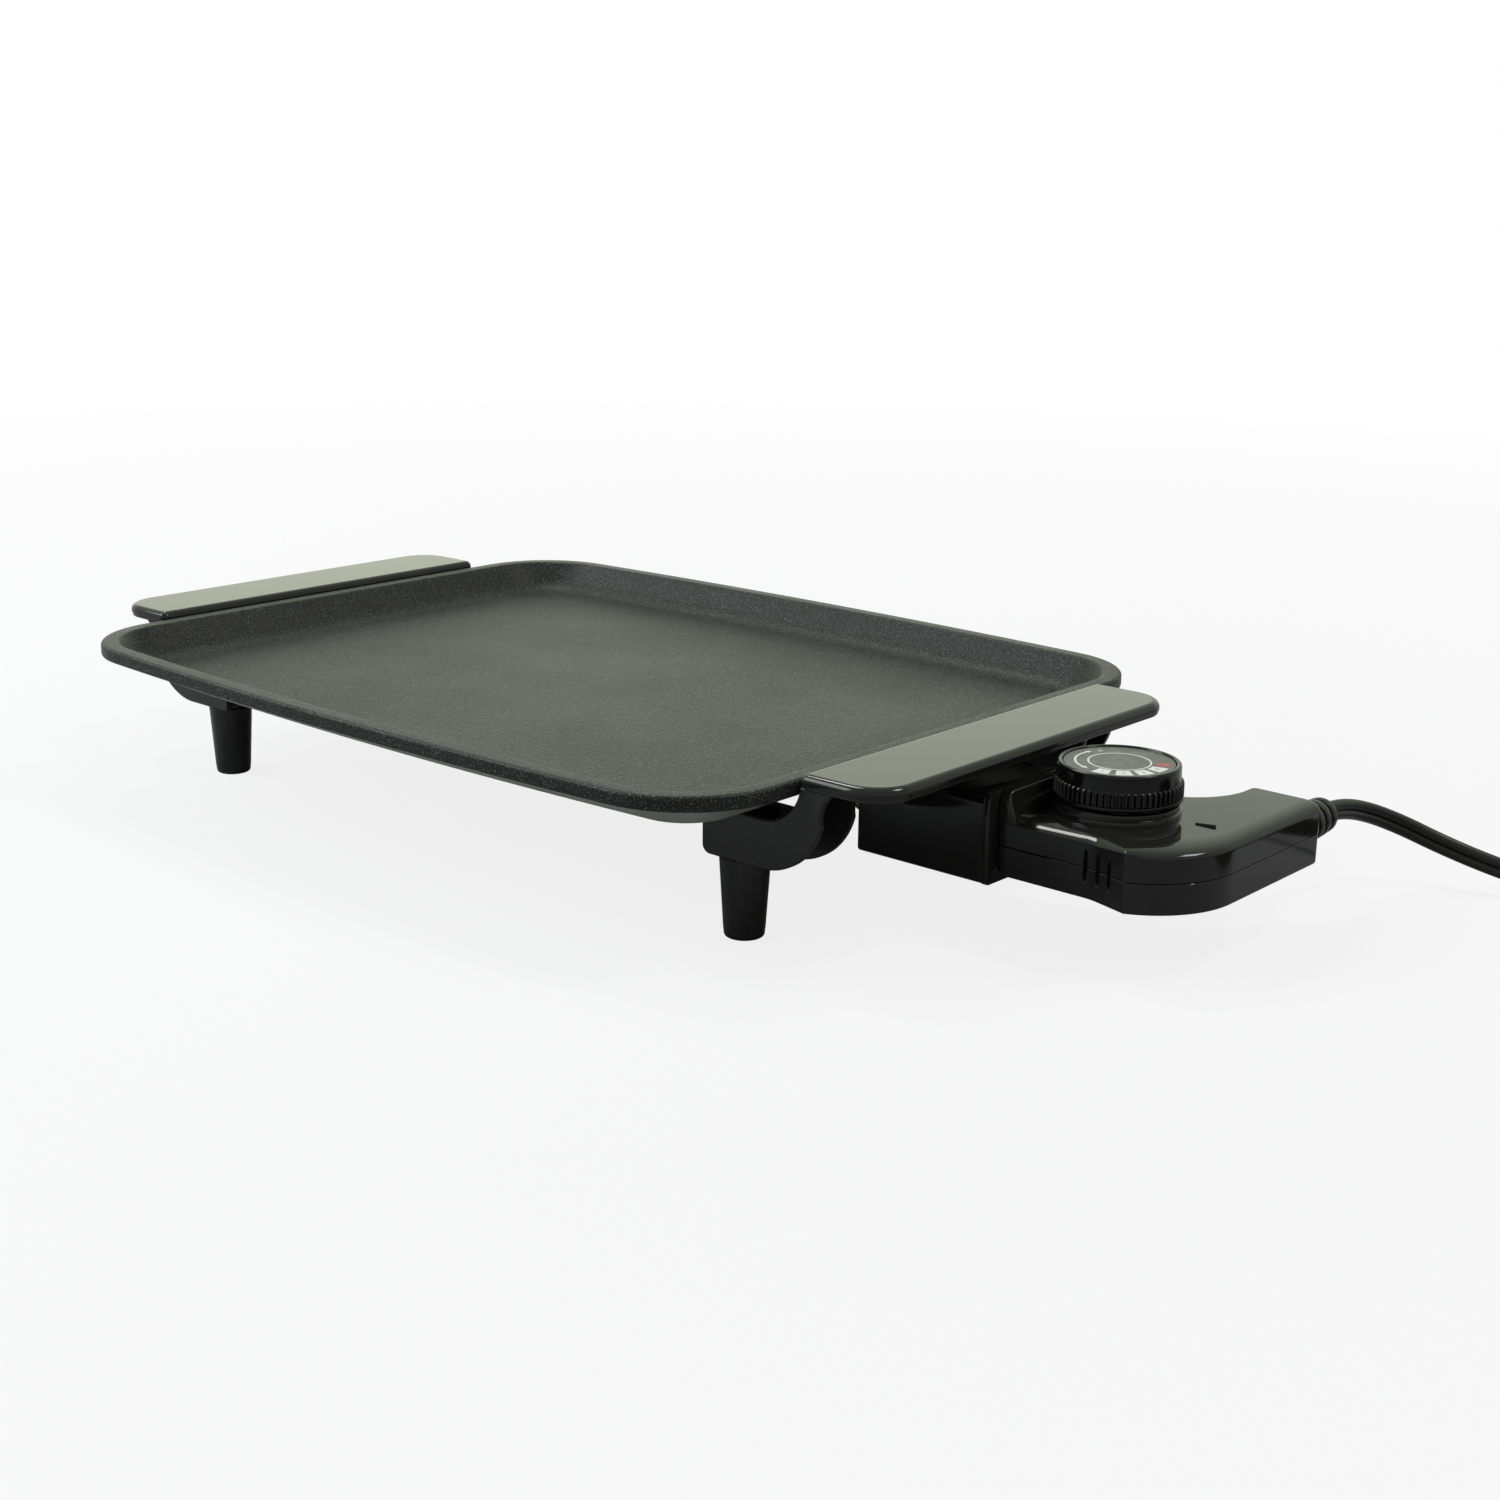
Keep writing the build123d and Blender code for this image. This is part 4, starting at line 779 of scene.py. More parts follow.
def with_slots(grid, facing):
    """Presses three upright lens-shaped finger grooves into the front of the wall.

    Each is as deep as the root of one minus the squares of the shares across and along it.
    """
    front = (facing[:, 1] < FRONT_FACING)[:, None]
    dip = np.zeros(grid.shape[:2])
    for place in SLOT_PLACES:
        across = (grid[:, :, 0] - place) / SLOT_HALF_WIDTH
        along = (grid[:, :, 2] - SLOT_MIDDLE) / SLOT_HALF_HEIGHT
        dip = np.maximum(dip, np.sqrt(np.clip(1 - across**2 - along**2, 0, 1)))
    moved = grid.copy()
    moved[:, :, :2] -= facing[:, None, :] * (SLOT_DEPTH * np.where(front, dip, 0))[:, :, None]
    return moved


def upper_shell():
    """Wall from the parting line up to its own top height, then a parabola over to the flat top.

    The parabola has three control points: the wall's top, a point at the height of the flat top, and
    the edge of the flat top. The middle point lies over the wall, or as far in as it rises for a slant.
    """
    rise = np.linspace(0, 1, WALL_ROWS)
    low = PARTING + PARTING_GAP
    height = low + PARTING_LIP + (wall_tops - low - PARTING_LIP)[:, None] * rise
    plan = np.broadcast_to(wall_loop[:, None], height.shape + (2,))
    wall = np.concatenate([plan, height[:, :, None]], axis=-1)
    part = np.linspace(0, 1, EDGE_ROWS)[1:]
    climb = CONTROL_TOP - wall_tops
    reach = np.linalg.norm(top_loop - wall_loop, axis=1)
    middle = edge_slant * np.clip(climb / reach, 0, SLANT_LIMIT)
    inwards = 2 * part * (1 - part) * middle[:, None] + part**2
    over = wall_loop[:, None] + (top_loop - wall_loop)[:, None] * inwards[:, :, None]
    upwards = wall_tops[:, None] + climb[:, None] * (1 - (1 - part)**2)
    crown = np.concatenate([over, upwards[:, :, None]], axis=-1)
    foot = around(wall_loop, wall_facing, [(PARTING_DEPTH, low), (PARTING_LIP, low)])
    flat = around(top_loop, top_facing, [(TOP_INSET, CONTROL_TOP)])
    return np.concatenate([foot, with_slots(wall, wall_facing), crown, flat], axis=1)


def lower_shell():
    """Wall from the parting line down to a small round and the flat bottom.

    Below the top of the chin the nose is cut back: x is never less than its front plus the slope times
    the depth below that height.
    """
    high = PARTING - PARTING_GAP
    turn = np.linspace(0, np.pi / 2, 7)
    rounding = np.column_stack([BOTTOM_INSET * (1 - np.cos(turn)),
                                CONTROL_BOTTOM + BOTTOM_RISE * (1 - np.sin(turn))])
    heights = np.linspace(high - PARTING_LIP, CONTROL_BOTTOM + BOTTOM_RISE, WALL_ROWS)
    levels = np.column_stack([np.zeros(WALL_ROWS), heights])
    wall = with_slots(around(wall_loop, wall_facing, levels), wall_facing)
    bottom = np.concatenate([rounding[1:], [(BOTTOM_INSET + 0.1, CONTROL_BOTTOM)]])
    foot = around(wall_loop, wall_facing, bottom)
    head = around(wall_loop, wall_facing, [(PARTING_DEPTH, high), (PARTING_LIP, high)])
    shell = np.concatenate([head, wall, foot], axis=1)
    chin = NOSE_FRONT + NOSE_CHIN_SLOPE * np.clip(NOSE_CHIN_TOP - shell[:, :, 2], 0, None)
    shell[:, :, 0] = np.maximum(shell[:, :, 0], chin)
    return shell


upper_skin = capped(upper_shell())
make_piece("control_base", [capped(lower_shell())], [black_gloss], "control",
           ("control_bottom_shell",), crease=34)

# %% [markdown]
# ## Guard, collar and pointer
# A guard stands across the nose, where the control meets the socket. A collar rings the spindle
# under the knob, and a small raised wedge on the top points at the dial. All three belong to the
# upper shell's mould, so they join its mesh.

# %% Guard, collar and pointer
GUARD_HALF, GUARD_BOTTOM, GUARD_TOP, GUARD_ROUND = 24.2, 47.0, 60.0, 4.0
DIAL_CENTRE = (269.0, 11.3)

guard_profile, _ = rounded_loop(
    [(239.25, GUARD_BOTTOM), (247.4, GUARD_BOTTOM), (246.4, 50.6), (244.4, 56.0), (243.2, GUARD_TOP),
     (239.25, GUARD_TOP)],
    [0.2, 0.2, 1.5, 6.0, 1.0, 1.0], 7)
guard_y = GUARD_HALF * np.sin(np.linspace(-np.pi / 2, np.pi / 2, 41))
end_share = np.clip((np.abs(guard_y) - GUARD_HALF + GUARD_ROUND) / GUARD_ROUND, 0, 1)
guard_top = GUARD_TOP - GUARD_ROUND * (1 - np.sqrt(1 - end_share**2))
guard_scale = (guard_top - GUARD_BOTTOM) / (GUARD_TOP - GUARD_BOTTOM)
guard_height = GUARD_BOTTOM + (guard_profile[:, 1:] - GUARD_BOTTOM) * guard_scale[None]
guard_grid = np.stack([np.broadcast_to(guard_profile[:, :1], guard_height.shape),
                       np.broadcast_to(guard_y[None], guard_height.shape), guard_height], axis=-1)

COLLAR_PROFILE = [(24.6, 50.8), (24.6, 52.5), (24.45, 52.8), (24.1, 52.95), (23.95, 53.1), (23.95, 54.9),
                  (23.8, 55.25), (23.4, 55.45), (22.0, 55.5), (21.6, 55.2), (21.6, 50.8)]
POINTER_START, POINTER_RUN = 292.0, 16.0
pointer_loop, pointer_facing = rounded_loop([(298.4, 15.0), (308.9, 16.4), (308.7, 17.6)],
                                            [0.15, 0.4, 0.4], 5)
pointer_grid = around(pointer_loop, pointer_facing,
                      [(0.0, 50.9), (0.0, 51.7), (0.1, 51.95), (0.25, 52.0), (0.35, 52.0)])
pointer_share = np.clip((pointer_grid[:, :, 0] - POINTER_START) / POINTER_RUN, 0, 1)
pointer_grid[:, :, 2] = CONTROL_TOP + (pointer_grid[:, :, 2] - CONTROL_TOP) * pointer_share
collar_skin = skin(lathe(COLLAR_PROFILE, DIAL_CENTRE, 96), ring=True, closed=True)
upper_skins = [upper_skin, capped(guard_grid), collar_skin, capped(pointer_grid)]
make_piece("control_cover", upper_skins, [black_gloss], "control", ("control_top_shell",),
           crease=34)

# %% [markdown]
# ## Knob
# The knob has a plain crown, a band of narrow upright ribs for the fingers and a plain ring below
# them. The ribs are part of the radius: a turned profile gets a little taller wherever a wave of
# the angle is near its top, and only between two heights.

# %% Knob
RIBS, RIB_HEIGHT, RIB_LOW, RIB_ROUND, RIB_HIGH = 60, 1.1, 58.5, 63.1, 64.2
POINTS_PER_RIB, RIB_BREADTH = 10, 1.5
KNOB_INSIDE = 20.0
KNOB_PROFILE = [(19.0, 58.6), (23.2, 57.0), (23.9, 56.65), (24.6, 56.7), (24.95, 57.1), (25.0, 57.5),
                (25.0, 58.0), (24.9, 58.3), (24.6, 58.45), (23.85, 58.5), (23.84, 58.56), (23.82, 60.3),
                (23.8, 62.2), (23.78, 63.1), (23.77, 63.6), (23.76, 63.95), (23.75, 64.2), (23.74, 64.6),
                (23.7, 66.0), (23.62, 68.0), (23.55, 69.7), (23.4, 70.25), (23.05, 70.53), (22.6, 70.6),
                (22.1, 70.55), (21.75, 70.3), (21.6, 69.9), (21.5, 69.3), (18.0, 69.3)]
knob_grid = lathe(KNOB_PROFILE, (0.0, 0.0), RIBS * POINTS_PER_RIB)
knob_height = knob_grid[:, :, 2]
rib_turn = np.linspace(0, 2 * np.pi, RIBS * POINTS_PER_RIB, endpoint=False)[:, None]
rib_wave = np.clip(np.cos(RIBS * rib_turn) * RIB_BREADTH, 0, 1)**0.5
above_round = np.clip((knob_height - RIB_ROUND) / (RIB_HIGH - RIB_ROUND), 0, 1)
outside = np.array(KNOB_PROFILE)[:, 0] > KNOB_INSIDE
in_band = np.where(outside & (knob_height > RIB_LOW + 0.01), np.sqrt(1 - above_round**2), 0)
outwards = np.concatenate([np.cos(rib_turn), np.sin(rib_turn)], axis=1)[:, None, :]
knob_grid[:, :, :2] += outwards * (RIB_HEIGHT * rib_wave * in_band)[:, :, None]
knob_grid[:, :, :2] += DIAL_CENTRE
make_piece("ribbed_knob", [capped(knob_grid)], [knob_black], "dial", ("dial_knob",), crease=40)

# %% [markdown]
# ## Dial face
# A thin grey disc sits in the top of the knob. It is printed with a ring, blocks for the heat steps
# and an arrow. The print is laid on as very thin pieces of its own, so that it stays sharp at any
# size of picture.

# %% Dial inks
dial_grey, dial_shader = new_finish("dial_grey", (0.05, 0.05, 0.047), 0.35, IOR=1.3)
dial_brush = grain(dial_grey, 3.0, 3.0)
wire(dial_grey, dial_shader,
     Base_Color=tint(dial_grey, dial_brush, (0.04, 0.04, 0.0375), (0.062, 0.062, 0.058)),
     Roughness=spread(dial_grey, dial_brush, 0.3, 0.7, 0.28, 0.42))


def ink(name, colour):
    """Printed ink: slightly uneven in colour and roughness."""
    material, shader = new_finish(name, colour, 0.5)
    blots = grain(material, 0.6, 3.0)
    wire(material, shader, Base_Color=tint(material, blots, tuple(part * 0.85 for part in colour), colour),
         Roughness=spread(material, blots, 0.3, 0.7, 0.4, 0.6))
    return material


white_ink = ink("white_ink", (0.62, 0.62, 0.6))
red_ink = ink("red_ink", (0.24, 0.05, 0.04))
number_ink = ink("number_ink", (0.2, 0.2, 0.19))
print("Inks:", white_ink.name, red_ink.name, number_ink.name)

# %% Dial face
FACE_RADIUS, FACE_BOTTOM, FACE_TOP = 21.3, 69.4, 70.0
PRINT_HEIGHT = 0.04
face_profile = [(19.0, FACE_BOTTOM), (FACE_RADIUS, FACE_BOTTOM), (FACE_RADIUS, 69.85),
                (FACE_RADIUS - 0.15, FACE_TOP), (FACE_RADIUS - 0.4, FACE_TOP)]
make_piece("dial_face", [capped(lathe(face_profile, DIAL_CENTRE, 96))], [dial_grey], "dial",
           ("dial_plate",))


def arc_band(turn, inner, outer):
    """Flat band with a thin edge: the dial's centre plus each radius times cosine and sine of the turn.

    The turn is in degrees, and both radii may change along it.
    """
    turn = np.radians(turn)[None]
    radius = np.stack([inner, inner, outer, outer])
    level = np.array([-0.5, 1.0, 1.0, -0.5])[:, None] * PRINT_HEIGHT + FACE_TOP
    return np.stack([DIAL_CENTRE[0] + radius * np.cos(turn), DIAL_CENTRE[1] + radius * np.sin(turn),
                     np.broadcast_to(level, radius.shape)], axis=-1)


def band_skin(start, end, inner, outer, count=12):
    """Closed band of even width from one angle to another, capped at both ends."""
    return capped(arc_band(np.linspace(start, end, count), np.full(count, inner), np.full(count, outer)))


HEAT_STEPS = {"1": 279.0, "2": 307.5, "3": 335.0, "4": 362.5}
BLOCK_HALF, BLOCK_INNER, BLOCK_OUTER = 10.2, 13.2, 19.4
RING_INNER, RING_OUTER, ARROW_RADIUS = 11.6, 12.3, 16.9
ARROW_START, SHAFT_START, SHAFT_END, ARROW_END = 162, 170, 248, 257
TIP_HALF, BARB_HALF, SHAFT_HALF = 0.05, 1.25, 0.42
HOT_MARK = (377.5, 394.5, 13.9, 18.8)
circle = np.linspace(0, 360, 97)[:-1]
ring_band = arc_band(circle, np.full(len(circle), RING_INNER), np.full(len(circle), RING_OUTER))
ring_skin = skin(ring_band.transpose(1, 0, 2), ring=True, closed=True)
shaft = np.linspace(SHAFT_START, SHAFT_END, 24)
arrow_turn = np.concatenate([[ARROW_START, SHAFT_START], shaft, [SHAFT_END, ARROW_END]])
arrow_half = np.concatenate([[TIP_HALF, BARB_HALF], np.full(len(shaft), SHAFT_HALF), [BARB_HALF, TIP_HALF]])
arrow_skin = capped(arc_band(arrow_turn, ARROW_RADIUS - arrow_half, ARROW_RADIUS + arrow_half))
blocks = [band_skin(angle - BLOCK_HALF, angle + BLOCK_HALF, BLOCK_INNER, BLOCK_OUTER)
          for angle in HEAT_STEPS.values()]
make_piece("dial_print", [ring_skin, arrow_skin] + blocks, [white_ink], "dial")
make_piece("dial_hot_mark", [band_skin(*HOT_MARK)], [red_ink], "dial")

# %% [markdown]
# ## Numbers on the dial
# The heat steps are numbered, dark on their light blocks, and a nought marks the place where the
# heat is off. Blender's own letters are turned into a mesh first. Their points are then laid on the
# dial with numpy, so that each number stands upright for someone who looks in from the rim.

# %% Numbers
NUMBER_SIZE = 3.6
NUMBER_RADIUS = 16.3
NOUGHT_ANGLE = 149.5


def number_skin(text, angle, base):
    """A letter's mesh laid on the dial: its right runs along the rim and its top points to the middle."""
    letter = bpy.data.curves.new("number", "FONT")
    letter.body = text
    letter.size = NUMBER_SIZE
    letter.extrude = PRINT_HEIGHT / 2
    letter.align_x, letter.align_y = "CENTER", "CENTER"
    points, loops = as_mesh("number", letter)
    outward = np.array([np.cos(np.radians(angle)), np.sin(np.radians(angle))])
    along = np.array([-outward[1], outward[0]])
    middle = np.array(DIAL_CENTRE) + outward * NUMBER_RADIUS
    laid = middle + points[:, :1] * along - points[:, 1:2] * outward
    placed = np.column_stack([laid, points[:, 2] + base])
    return placed, np.empty((0, 4), int), loops, np.zeros(len(loops), int)


step_numbers = [number_skin(text, angle, FACE_TOP + PRINT_HEIGHT) for text, angle in HEAT_STEPS.items()]
make_piece("dial_numbers", step_numbers, [number_ink], "dial")
make_piece("dial_nought", [number_skin("0", NOUGHT_ANGLE, FACE_TOP)], [white_ink], "dial")

# %% [markdown]
# ## Boot of the lead
# Where the lead leaves the tail, a tapered rubber boot with three grooves keeps it from kinking. It
# is a turned shape that lies along the lead, so the lathe's height becomes the distance along Y.

# %% Boot
BOOT_AXIS = (311.0, 38.2)
BOOT_PROFILE = [(4.0, 71.0), (6.2, 71.0), (6.25, 75.9), (8.4, 76.15), (8.65, 76.6), (8.6, 80.3),
                (8.35, 80.8), (7.3, 81.1), (7.25, 82.7), (8.15, 83.0), (8.35, 83.5), (8.15, 86.5),
                (7.9, 87.0), (6.9, 87.3), (6.85, 88.8), (7.75, 89.1), (7.95, 89.6), (7.75, 92.6),
                (7.5, 93.1), (6.5, 93.4), (6.45, 95.0), (7.3, 95.3), (7.5, 95.8), (7.25, 98.6),
                (6.8, 99.7), (6.0, 100.3), (4.0, 100.5)]
boot_turned = lathe(BOOT_PROFILE, (0.0, 0.0), 48)
boot_grid = np.stack([BOOT_AXIS[0] + boot_turned[:, :, 0], boot_turned[:, :, 2],
                      BOOT_AXIS[1] + boot_turned[:, :, 1]], axis=-1)
make_piece("lead_boot", [capped(boot_grid)], [cord_rubber], "control", ("cord_boot",))

# %% [markdown]
# ## Plug and tie
# The far end of the lead carries a moulded plug that lies on its side. Its rubber is cast over the
# blades in one shot: a ringed relief, then a body that widens to a flat face, with ridges to pull
# it by. A woven strap holds the coil. Both lie along the last heading of the lead, so a small
# function turns lengths along, across and up into places.

# %% Woven strap
tie_weave, tie_shader = new_finish("tie_black", (0.012, 0.012, 0.012), 0.7)
tie_threads = grain(tie_weave, 0.5, 2.0, (1.0, 6.0, 1.0))
tie_fuzz = grain(tie_weave, 0.35, 3.0)
wire(tie_weave, tie_shader,
     Base_Color=tint(tie_weave, tie_threads, (0.006, 0.006, 0.006), (0.024, 0.024, 0.023)),
     Roughness=spread(tie_weave, tie_fuzz, 0.3, 0.7, 0.6, 0.85),
     Normal=relief(tie_weave, tie_threads, 0.15))
print("Strap nodes:", len(tie_weave.node_tree.nodes))

# %% Plug and tie
PLUG_STATIONS = [
    # distance from the end of the lead, half width, half height, radius of the corners
    (0.0, 4.6, 4.6, 4.5), (0.6, 5.2, 5.2, 5.1), (3.4, 5.6, 5.6, 5.5), (3.8, 5.0, 5.0, 4.9),
    (5.2, 5.1, 5.1, 5.0), (5.6, 6.1, 6.1, 6.0), (8.4, 6.5, 6.5, 6.4), (8.8, 5.7, 5.7, 5.6),
    (10.2, 5.8, 5.8, 5.7), (10.6, 6.9, 6.9, 6.8), (14.6, 7.4, 7.4, 7.2), (16.1, 7.8, 8.0, 7.0),
    (17.2, 9.4, 10.2, 5.2), (19.0, 10.2, 11.3, 5.0), (23.0, 9.7, 11.0, 5.0), (23.8, 10.7, 11.9, 5.0),
    (25.0, 10.7, 11.9, 5.0), (25.8, 9.9, 11.2, 5.0), (27.2, 9.9, 11.2, 5.0), (28.0, 11.2, 12.4, 5.0),
    (29.2, 11.2, 12.4, 5.0), (30.0, 10.4, 11.7, 5.0), (31.4, 10.4, 11.7, 5.0), (32.2, 11.7, 12.8, 5.0),
    (33.4, 11.7, 12.8, 5.0), (34.2, 11.2, 12.4, 5.0), (44.0, 12.8, 14.4, 5.0), (46.6, 13.0, 14.6, 5.0),
    (47.6, 12.8, 14.4, 4.8), (48.0, 12.2, 13.8, 4.2),
]
TIE_INNER, TIE_OUTER, TIE_LOW, TIE_HIGH, TIE_CORNER = 36.0, 52.8, 0.35, 20.5, 2.8
TIE_SECTION = [(0.9, -4.2), (0.55, -4.4), (0.1, -4.4), (0.0, -4.1), (0.12, -3.7), (0.12, 3.7), (0.0, 4.1),
               (0.1, 4.4), (0.55, 4.4), (0.9, 4.2)]


def along_lead(start, lengths):
    """Places in millimetres: start plus the lengths along the heading, across it and up."""
    return (start - PLATE_MIDDLE) * 1000 + lengths @ np.array([heading, sideways, (0.0, 0.0, 1.0)])


plug_boxes = [(reach, wide, -tall, tall, corner, corner) for reach, wide, tall, corner in PLUG_STATIONS]
plug_grid = along_lead(tail[-1], station_grid(plug_boxes))
plug = make_piece("lead_plug", [capped(plug_grid)], [cord_rubber], "control", ("plug_body",))
tie_loop, tie_facing = rounded_loop([(TIE_INNER, TIE_LOW), (TIE_OUTER, TIE_LOW), (TIE_OUTER, TIE_HIGH),
                                     (TIE_INNER, TIE_HIGH)], [TIE_CORNER] * 4, 8)
coil_centre = (CORD_ROUTE[-1] + heading * COIL_LEAD + sideways * COIL_RADIUS) * (1, 1, 0)
tie_grid = along_lead(coil_centre, around(tie_loop, tie_facing, TIE_SECTION)[:, :, [2, 0, 1]])
tie = make_piece("lead_tie", [skin(tie_grid, ring=True, closed=True)], [tie_weave], "control",
                 ("cord_tie",))

# %% [markdown]
# ## Metals and insulators that stay as CAD solids
# The heating tube, the screws and the switch inside the control are plain turned or stamped parts,
# so their CAD solids stay. Each still gets its own finish: heat-stained steel for the tube, drawn
# steel, brass, fired ceramic, brown moulding and woven wire covers.

# %% Finishes of the inner parts
def drawn_metal(name, dark, light, roughness, mark, stretch):
    """Metal with marks drawn out in one direction: they change colour, roughness and relief together."""
    material, shader = new_finish(name, dark, roughness, Metallic=1.0)
    marks = grain(material, mark, 4.0, stretch)
    stains = grain(material, 12.0, 3.0)
    wire(material, shader, Base_Color=tint(material, stains, dark, light),
         Roughness=spread(material, marks, 0.3, 0.7, roughness * 0.8, roughness * 1.3),
         Normal=relief(material, marks, 0.02))
    return material


def insulator(name, dark, light, roughness, size):
    """Dull insulating stuff: mottled colour over a fine rough skin."""
    material, shader = new_finish(name, dark, roughness)
    mottle = grain(material, size, 4.0)
    wire(material, shader, Base_Color=tint(material, mottle, dark, light),
         Roughness=spread(material, mottle, 0.3, 0.7, roughness * 0.8, min(roughness * 1.2, 1.0)),
         Normal=relief(material, mottle, 0.05))
    return material


INNER_FINISHES = {
    "element_steel": drawn_metal("element_steel", (0.1, 0.085, 0.07), (0.2, 0.17, 0.15), 0.45, 0.8,
                                 (6, 6, 1)),
    "bright_steel": drawn_metal("bright_steel", (0.5, 0.5, 0.49), (0.62, 0.62, 0.6), 0.25, 0.4, (8, 1, 1)),
    "screw_steel": drawn_metal("screw_steel", (0.38, 0.38, 0.37), (0.55, 0.55, 0.53), 0.32, 0.3, (1, 1, 4)),
    "brass_contact": drawn_metal("brass_contact", (0.55, 0.38, 0.14), (0.7, 0.5, 0.2), 0.28, 0.4, (6, 1, 1)),
    "ceramic": insulator("ceramic", (0.55, 0.53, 0.48), (0.7, 0.68, 0.62), 0.6, 1.5),
    "insert_brown": insulator("insert_brown", (0.06, 0.03, 0.018), (0.1, 0.05, 0.03), 0.45, 2.5),
    "wire_cover": insulator("wire_cover", (0.5, 0.48, 0.44), (0.7, 0.68, 0.64), 0.75, 0.6),
}
print("Finishes of the inner parts:", sorted(INNER_FINISHES))

# %% Paint the CAD nodes that stay
NODE_FINISHES = {
    "element_steel": ["heating_element"],
    "bright_steel": ["element_pins", "element_clips", "sensor_probe", "switch_frame", "contact_rivets",
                     "dial_spindle"],
    "screw_steel": ["clip_screws", "right_handle_screws", "left_handle_screws", "leg_screws",
                    "socket_screws", "shell_screws"],
    "brass_contact": ["contact_sleeves", "lower_contact_leaf", "upper_contact_leaf", "spindle_bush",
                      "plug_blades"],
    "ceramic": ["element_end_beads", "contact_stack"],
    "insert_brown": ["nose_insert"],
    "wire_cover": ["lead_wires"],
}
painted = 0
for finish_name, node_names in NODE_FINISHES.items():
    for node_name in node_names:
        for place in solids[node_name].material_slots:
            place.material = INNER_FINISHES[finish_name]
        painted += 1
print("CAD nodes painted:", painted)

# %% [markdown]
# ## Studio
# A pale floor, a white surround and four soft lamps make a plain product picture. Polished black
# only looks polished when it mirrors something bright, so the widest lamp stands low behind the
# griddle and two small ones high up draw the bright lines along its round edges. The surround shows
# white to the camera and to reflections, and lights the scene more softly than that. The floor fades
# to the same white further out, and near the griddle it stays darker, which keeps the shadow.

# %% Floor
FLOOR_HALF = 30.0
FLOOR_FADE = (0.35, 1.8)
CAMERA_WHITE, MIRROR_WHITE = 0.84, 0.05


def seen(material, straight_on, mirrored):
    """One value for rays from the camera or through glass, another for reflections, 0 for all others."""
    rays = add_node(material, "ShaderNodeLightPath", {}).outputs
    direct = add_node(material, "ShaderNodeMath",
                      {0: rays["Is Camera Ray"], 1: rays["Is Transmission Ray"]}, operation="MAXIMUM")
    camera_share = spread(material, direct.outputs["Value"], 0.0, 1.0, 0.0, straight_on)
    mirror_share = spread(material, rays["Is Glossy Ray"], 0.0, 1.0, 0.0, mirrored)
    return add_node(material, "ShaderNodeMath", {0: camera_share, 1: mirror_share},
                    operation="MAXIMUM").outputs["Value"]


floor_mesh = bpy.data.meshes.new("studio_floor")
floor_corners = np.array([(-1, -1, 0), (1, -1, 0), (1, 1, 0), (-1, 1, 0)]) * FLOOR_HALF
floor_mesh.from_pydata(floor_corners.tolist(), [], [(0, 1, 2, 3)])
floor_paint, floor_shader = new_finish("floor_paint", (0.5, 0.5, 0.5), 0.9, Specular_IOR_Level=0.0)
floor_place = add_node(floor_paint, "ShaderNodeTexCoord", {}).outputs["Object"]
floor_length = add_node(floor_paint, "ShaderNodeVectorMath", {0: floor_place}, operation="LENGTH")
fade = spread(floor_paint, floor_length.outputs["Value"], *FLOOR_FADE, CAMERA_WHITE, 1.0)
whiteness = add_node(floor_paint, "ShaderNodeMath", {0: fade, 1: seen(floor_paint, 1.0, MIRROR_WHITE)},
                     operation="MULTIPLY").outputs["Value"]
white_glow = add_node(floor_paint, "ShaderNodeEmission", {"Color": (1, 1, 1, 1), "Strength": 1.0})
floor_mix = add_node(floor_paint, "ShaderNodeMixShader", {0: whiteness, 1: floor_shader.outputs["BSDF"],
                                                          2: white_glow.outputs["Emission"]})
floor_end = floor_paint.node_tree.nodes["Material Output"]
floor_paint.node_tree.links.new(floor_mix.outputs["Shader"], floor_end.inputs["Surface"])
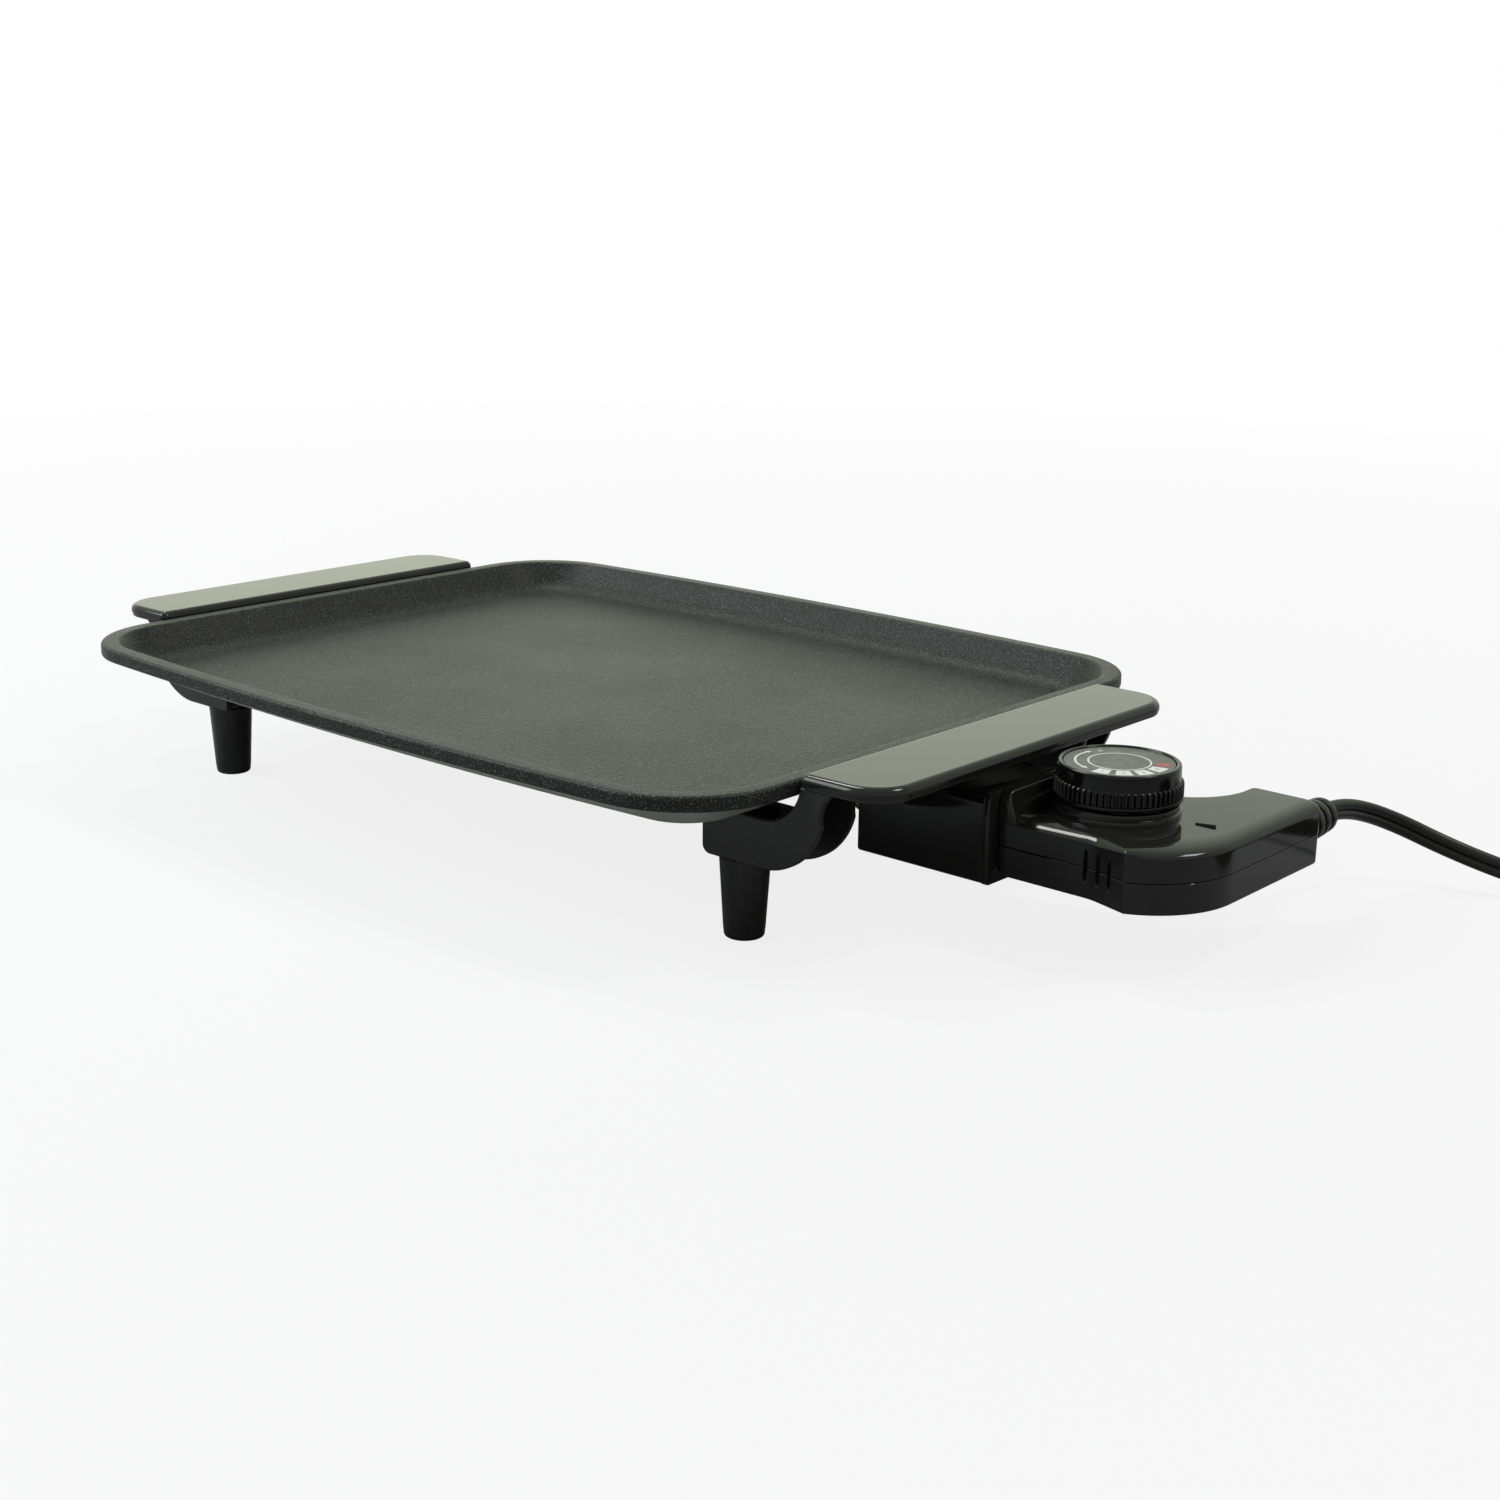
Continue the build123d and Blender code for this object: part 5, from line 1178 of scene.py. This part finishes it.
floor_mesh.materials.append(floor_paint)
floor = new_object("studio_floor", floor_mesh)
print("Floor fades to white between", FLOOR_FADE, "m")

# %% Surround
SURROUND_LIGHT = 0.2
MIRROR_TONE = (0.95, 1.0, 0.84)
world = bpy.data.worlds.new("studio_surround")
bpy.context.scene.world = world
world.use_nodes = True
sky = world.node_tree.nodes["Background"]
mirrored_ray = add_node(world, "ShaderNodeLightPath", {}).outputs["Is Glossy Ray"]
world.node_tree.links.new(tint(world, mirrored_ray, (1.0, 1.0, 1.0), MIRROR_TONE), sky.inputs["Color"])
sky_strength = spread(world, seen(world, 1.0, 1.0), 0.0, 1.0, SURROUND_LIGHT, 1.0)
world.node_tree.links.new(sky_strength, sky.inputs["Strength"])
bpy.context.scene.view_settings.view_transform = "Standard"
print("Surround lights at", SURROUND_LIGHT)


# %% Lamps
def soft_lamp(name, place, aim, size, glow, colour):
    """Rectangular lamp at place that faces aim. Its power is the wanted glow times pi times its area."""
    data = bpy.data.lights.new(name, "AREA")
    data.shape = "RECTANGLE"
    data.size, data.size_y = size
    data.energy = glow * np.pi * size[0] * size[1]
    data.color = colour
    back = np.subtract(place, aim)
    back /= np.linalg.norm(back)
    wide = np.cross((0.0, 0.0, 1.0), back)
    wide /= np.linalg.norm(wide)
    stand(new_object(name, data), wide, np.cross(back, wide), back, place)


NEUTRAL, COOL, WARM = (1.0, 1.0, 1.0), (0.9, 1.0, 0.99), (0.94, 1.0, 0.75)
soft_lamp("overhead_lamp", (0.95, 0.6, 1.68), (0.25, 0.0, 0.05), (0.6, 0.42), 18.0, NEUTRAL)
soft_lamp("left_lamp", (-0.84, 0.24, 1.73), (0.2, -0.04, 0.05), (0.46, 0.6), 17.0, NEUTRAL)
soft_lamp("front_lamp", (-1.1, -0.95, 1.1), (0.0, 0.1, 0.05), (1.1, 0.85), 9.0, COOL)
soft_lamp("low_back_lamp", (-2.07, 1.61, 0.75), (-0.27, -0.34, 0.05), (2.44, 1.2), 0.45, WARM)
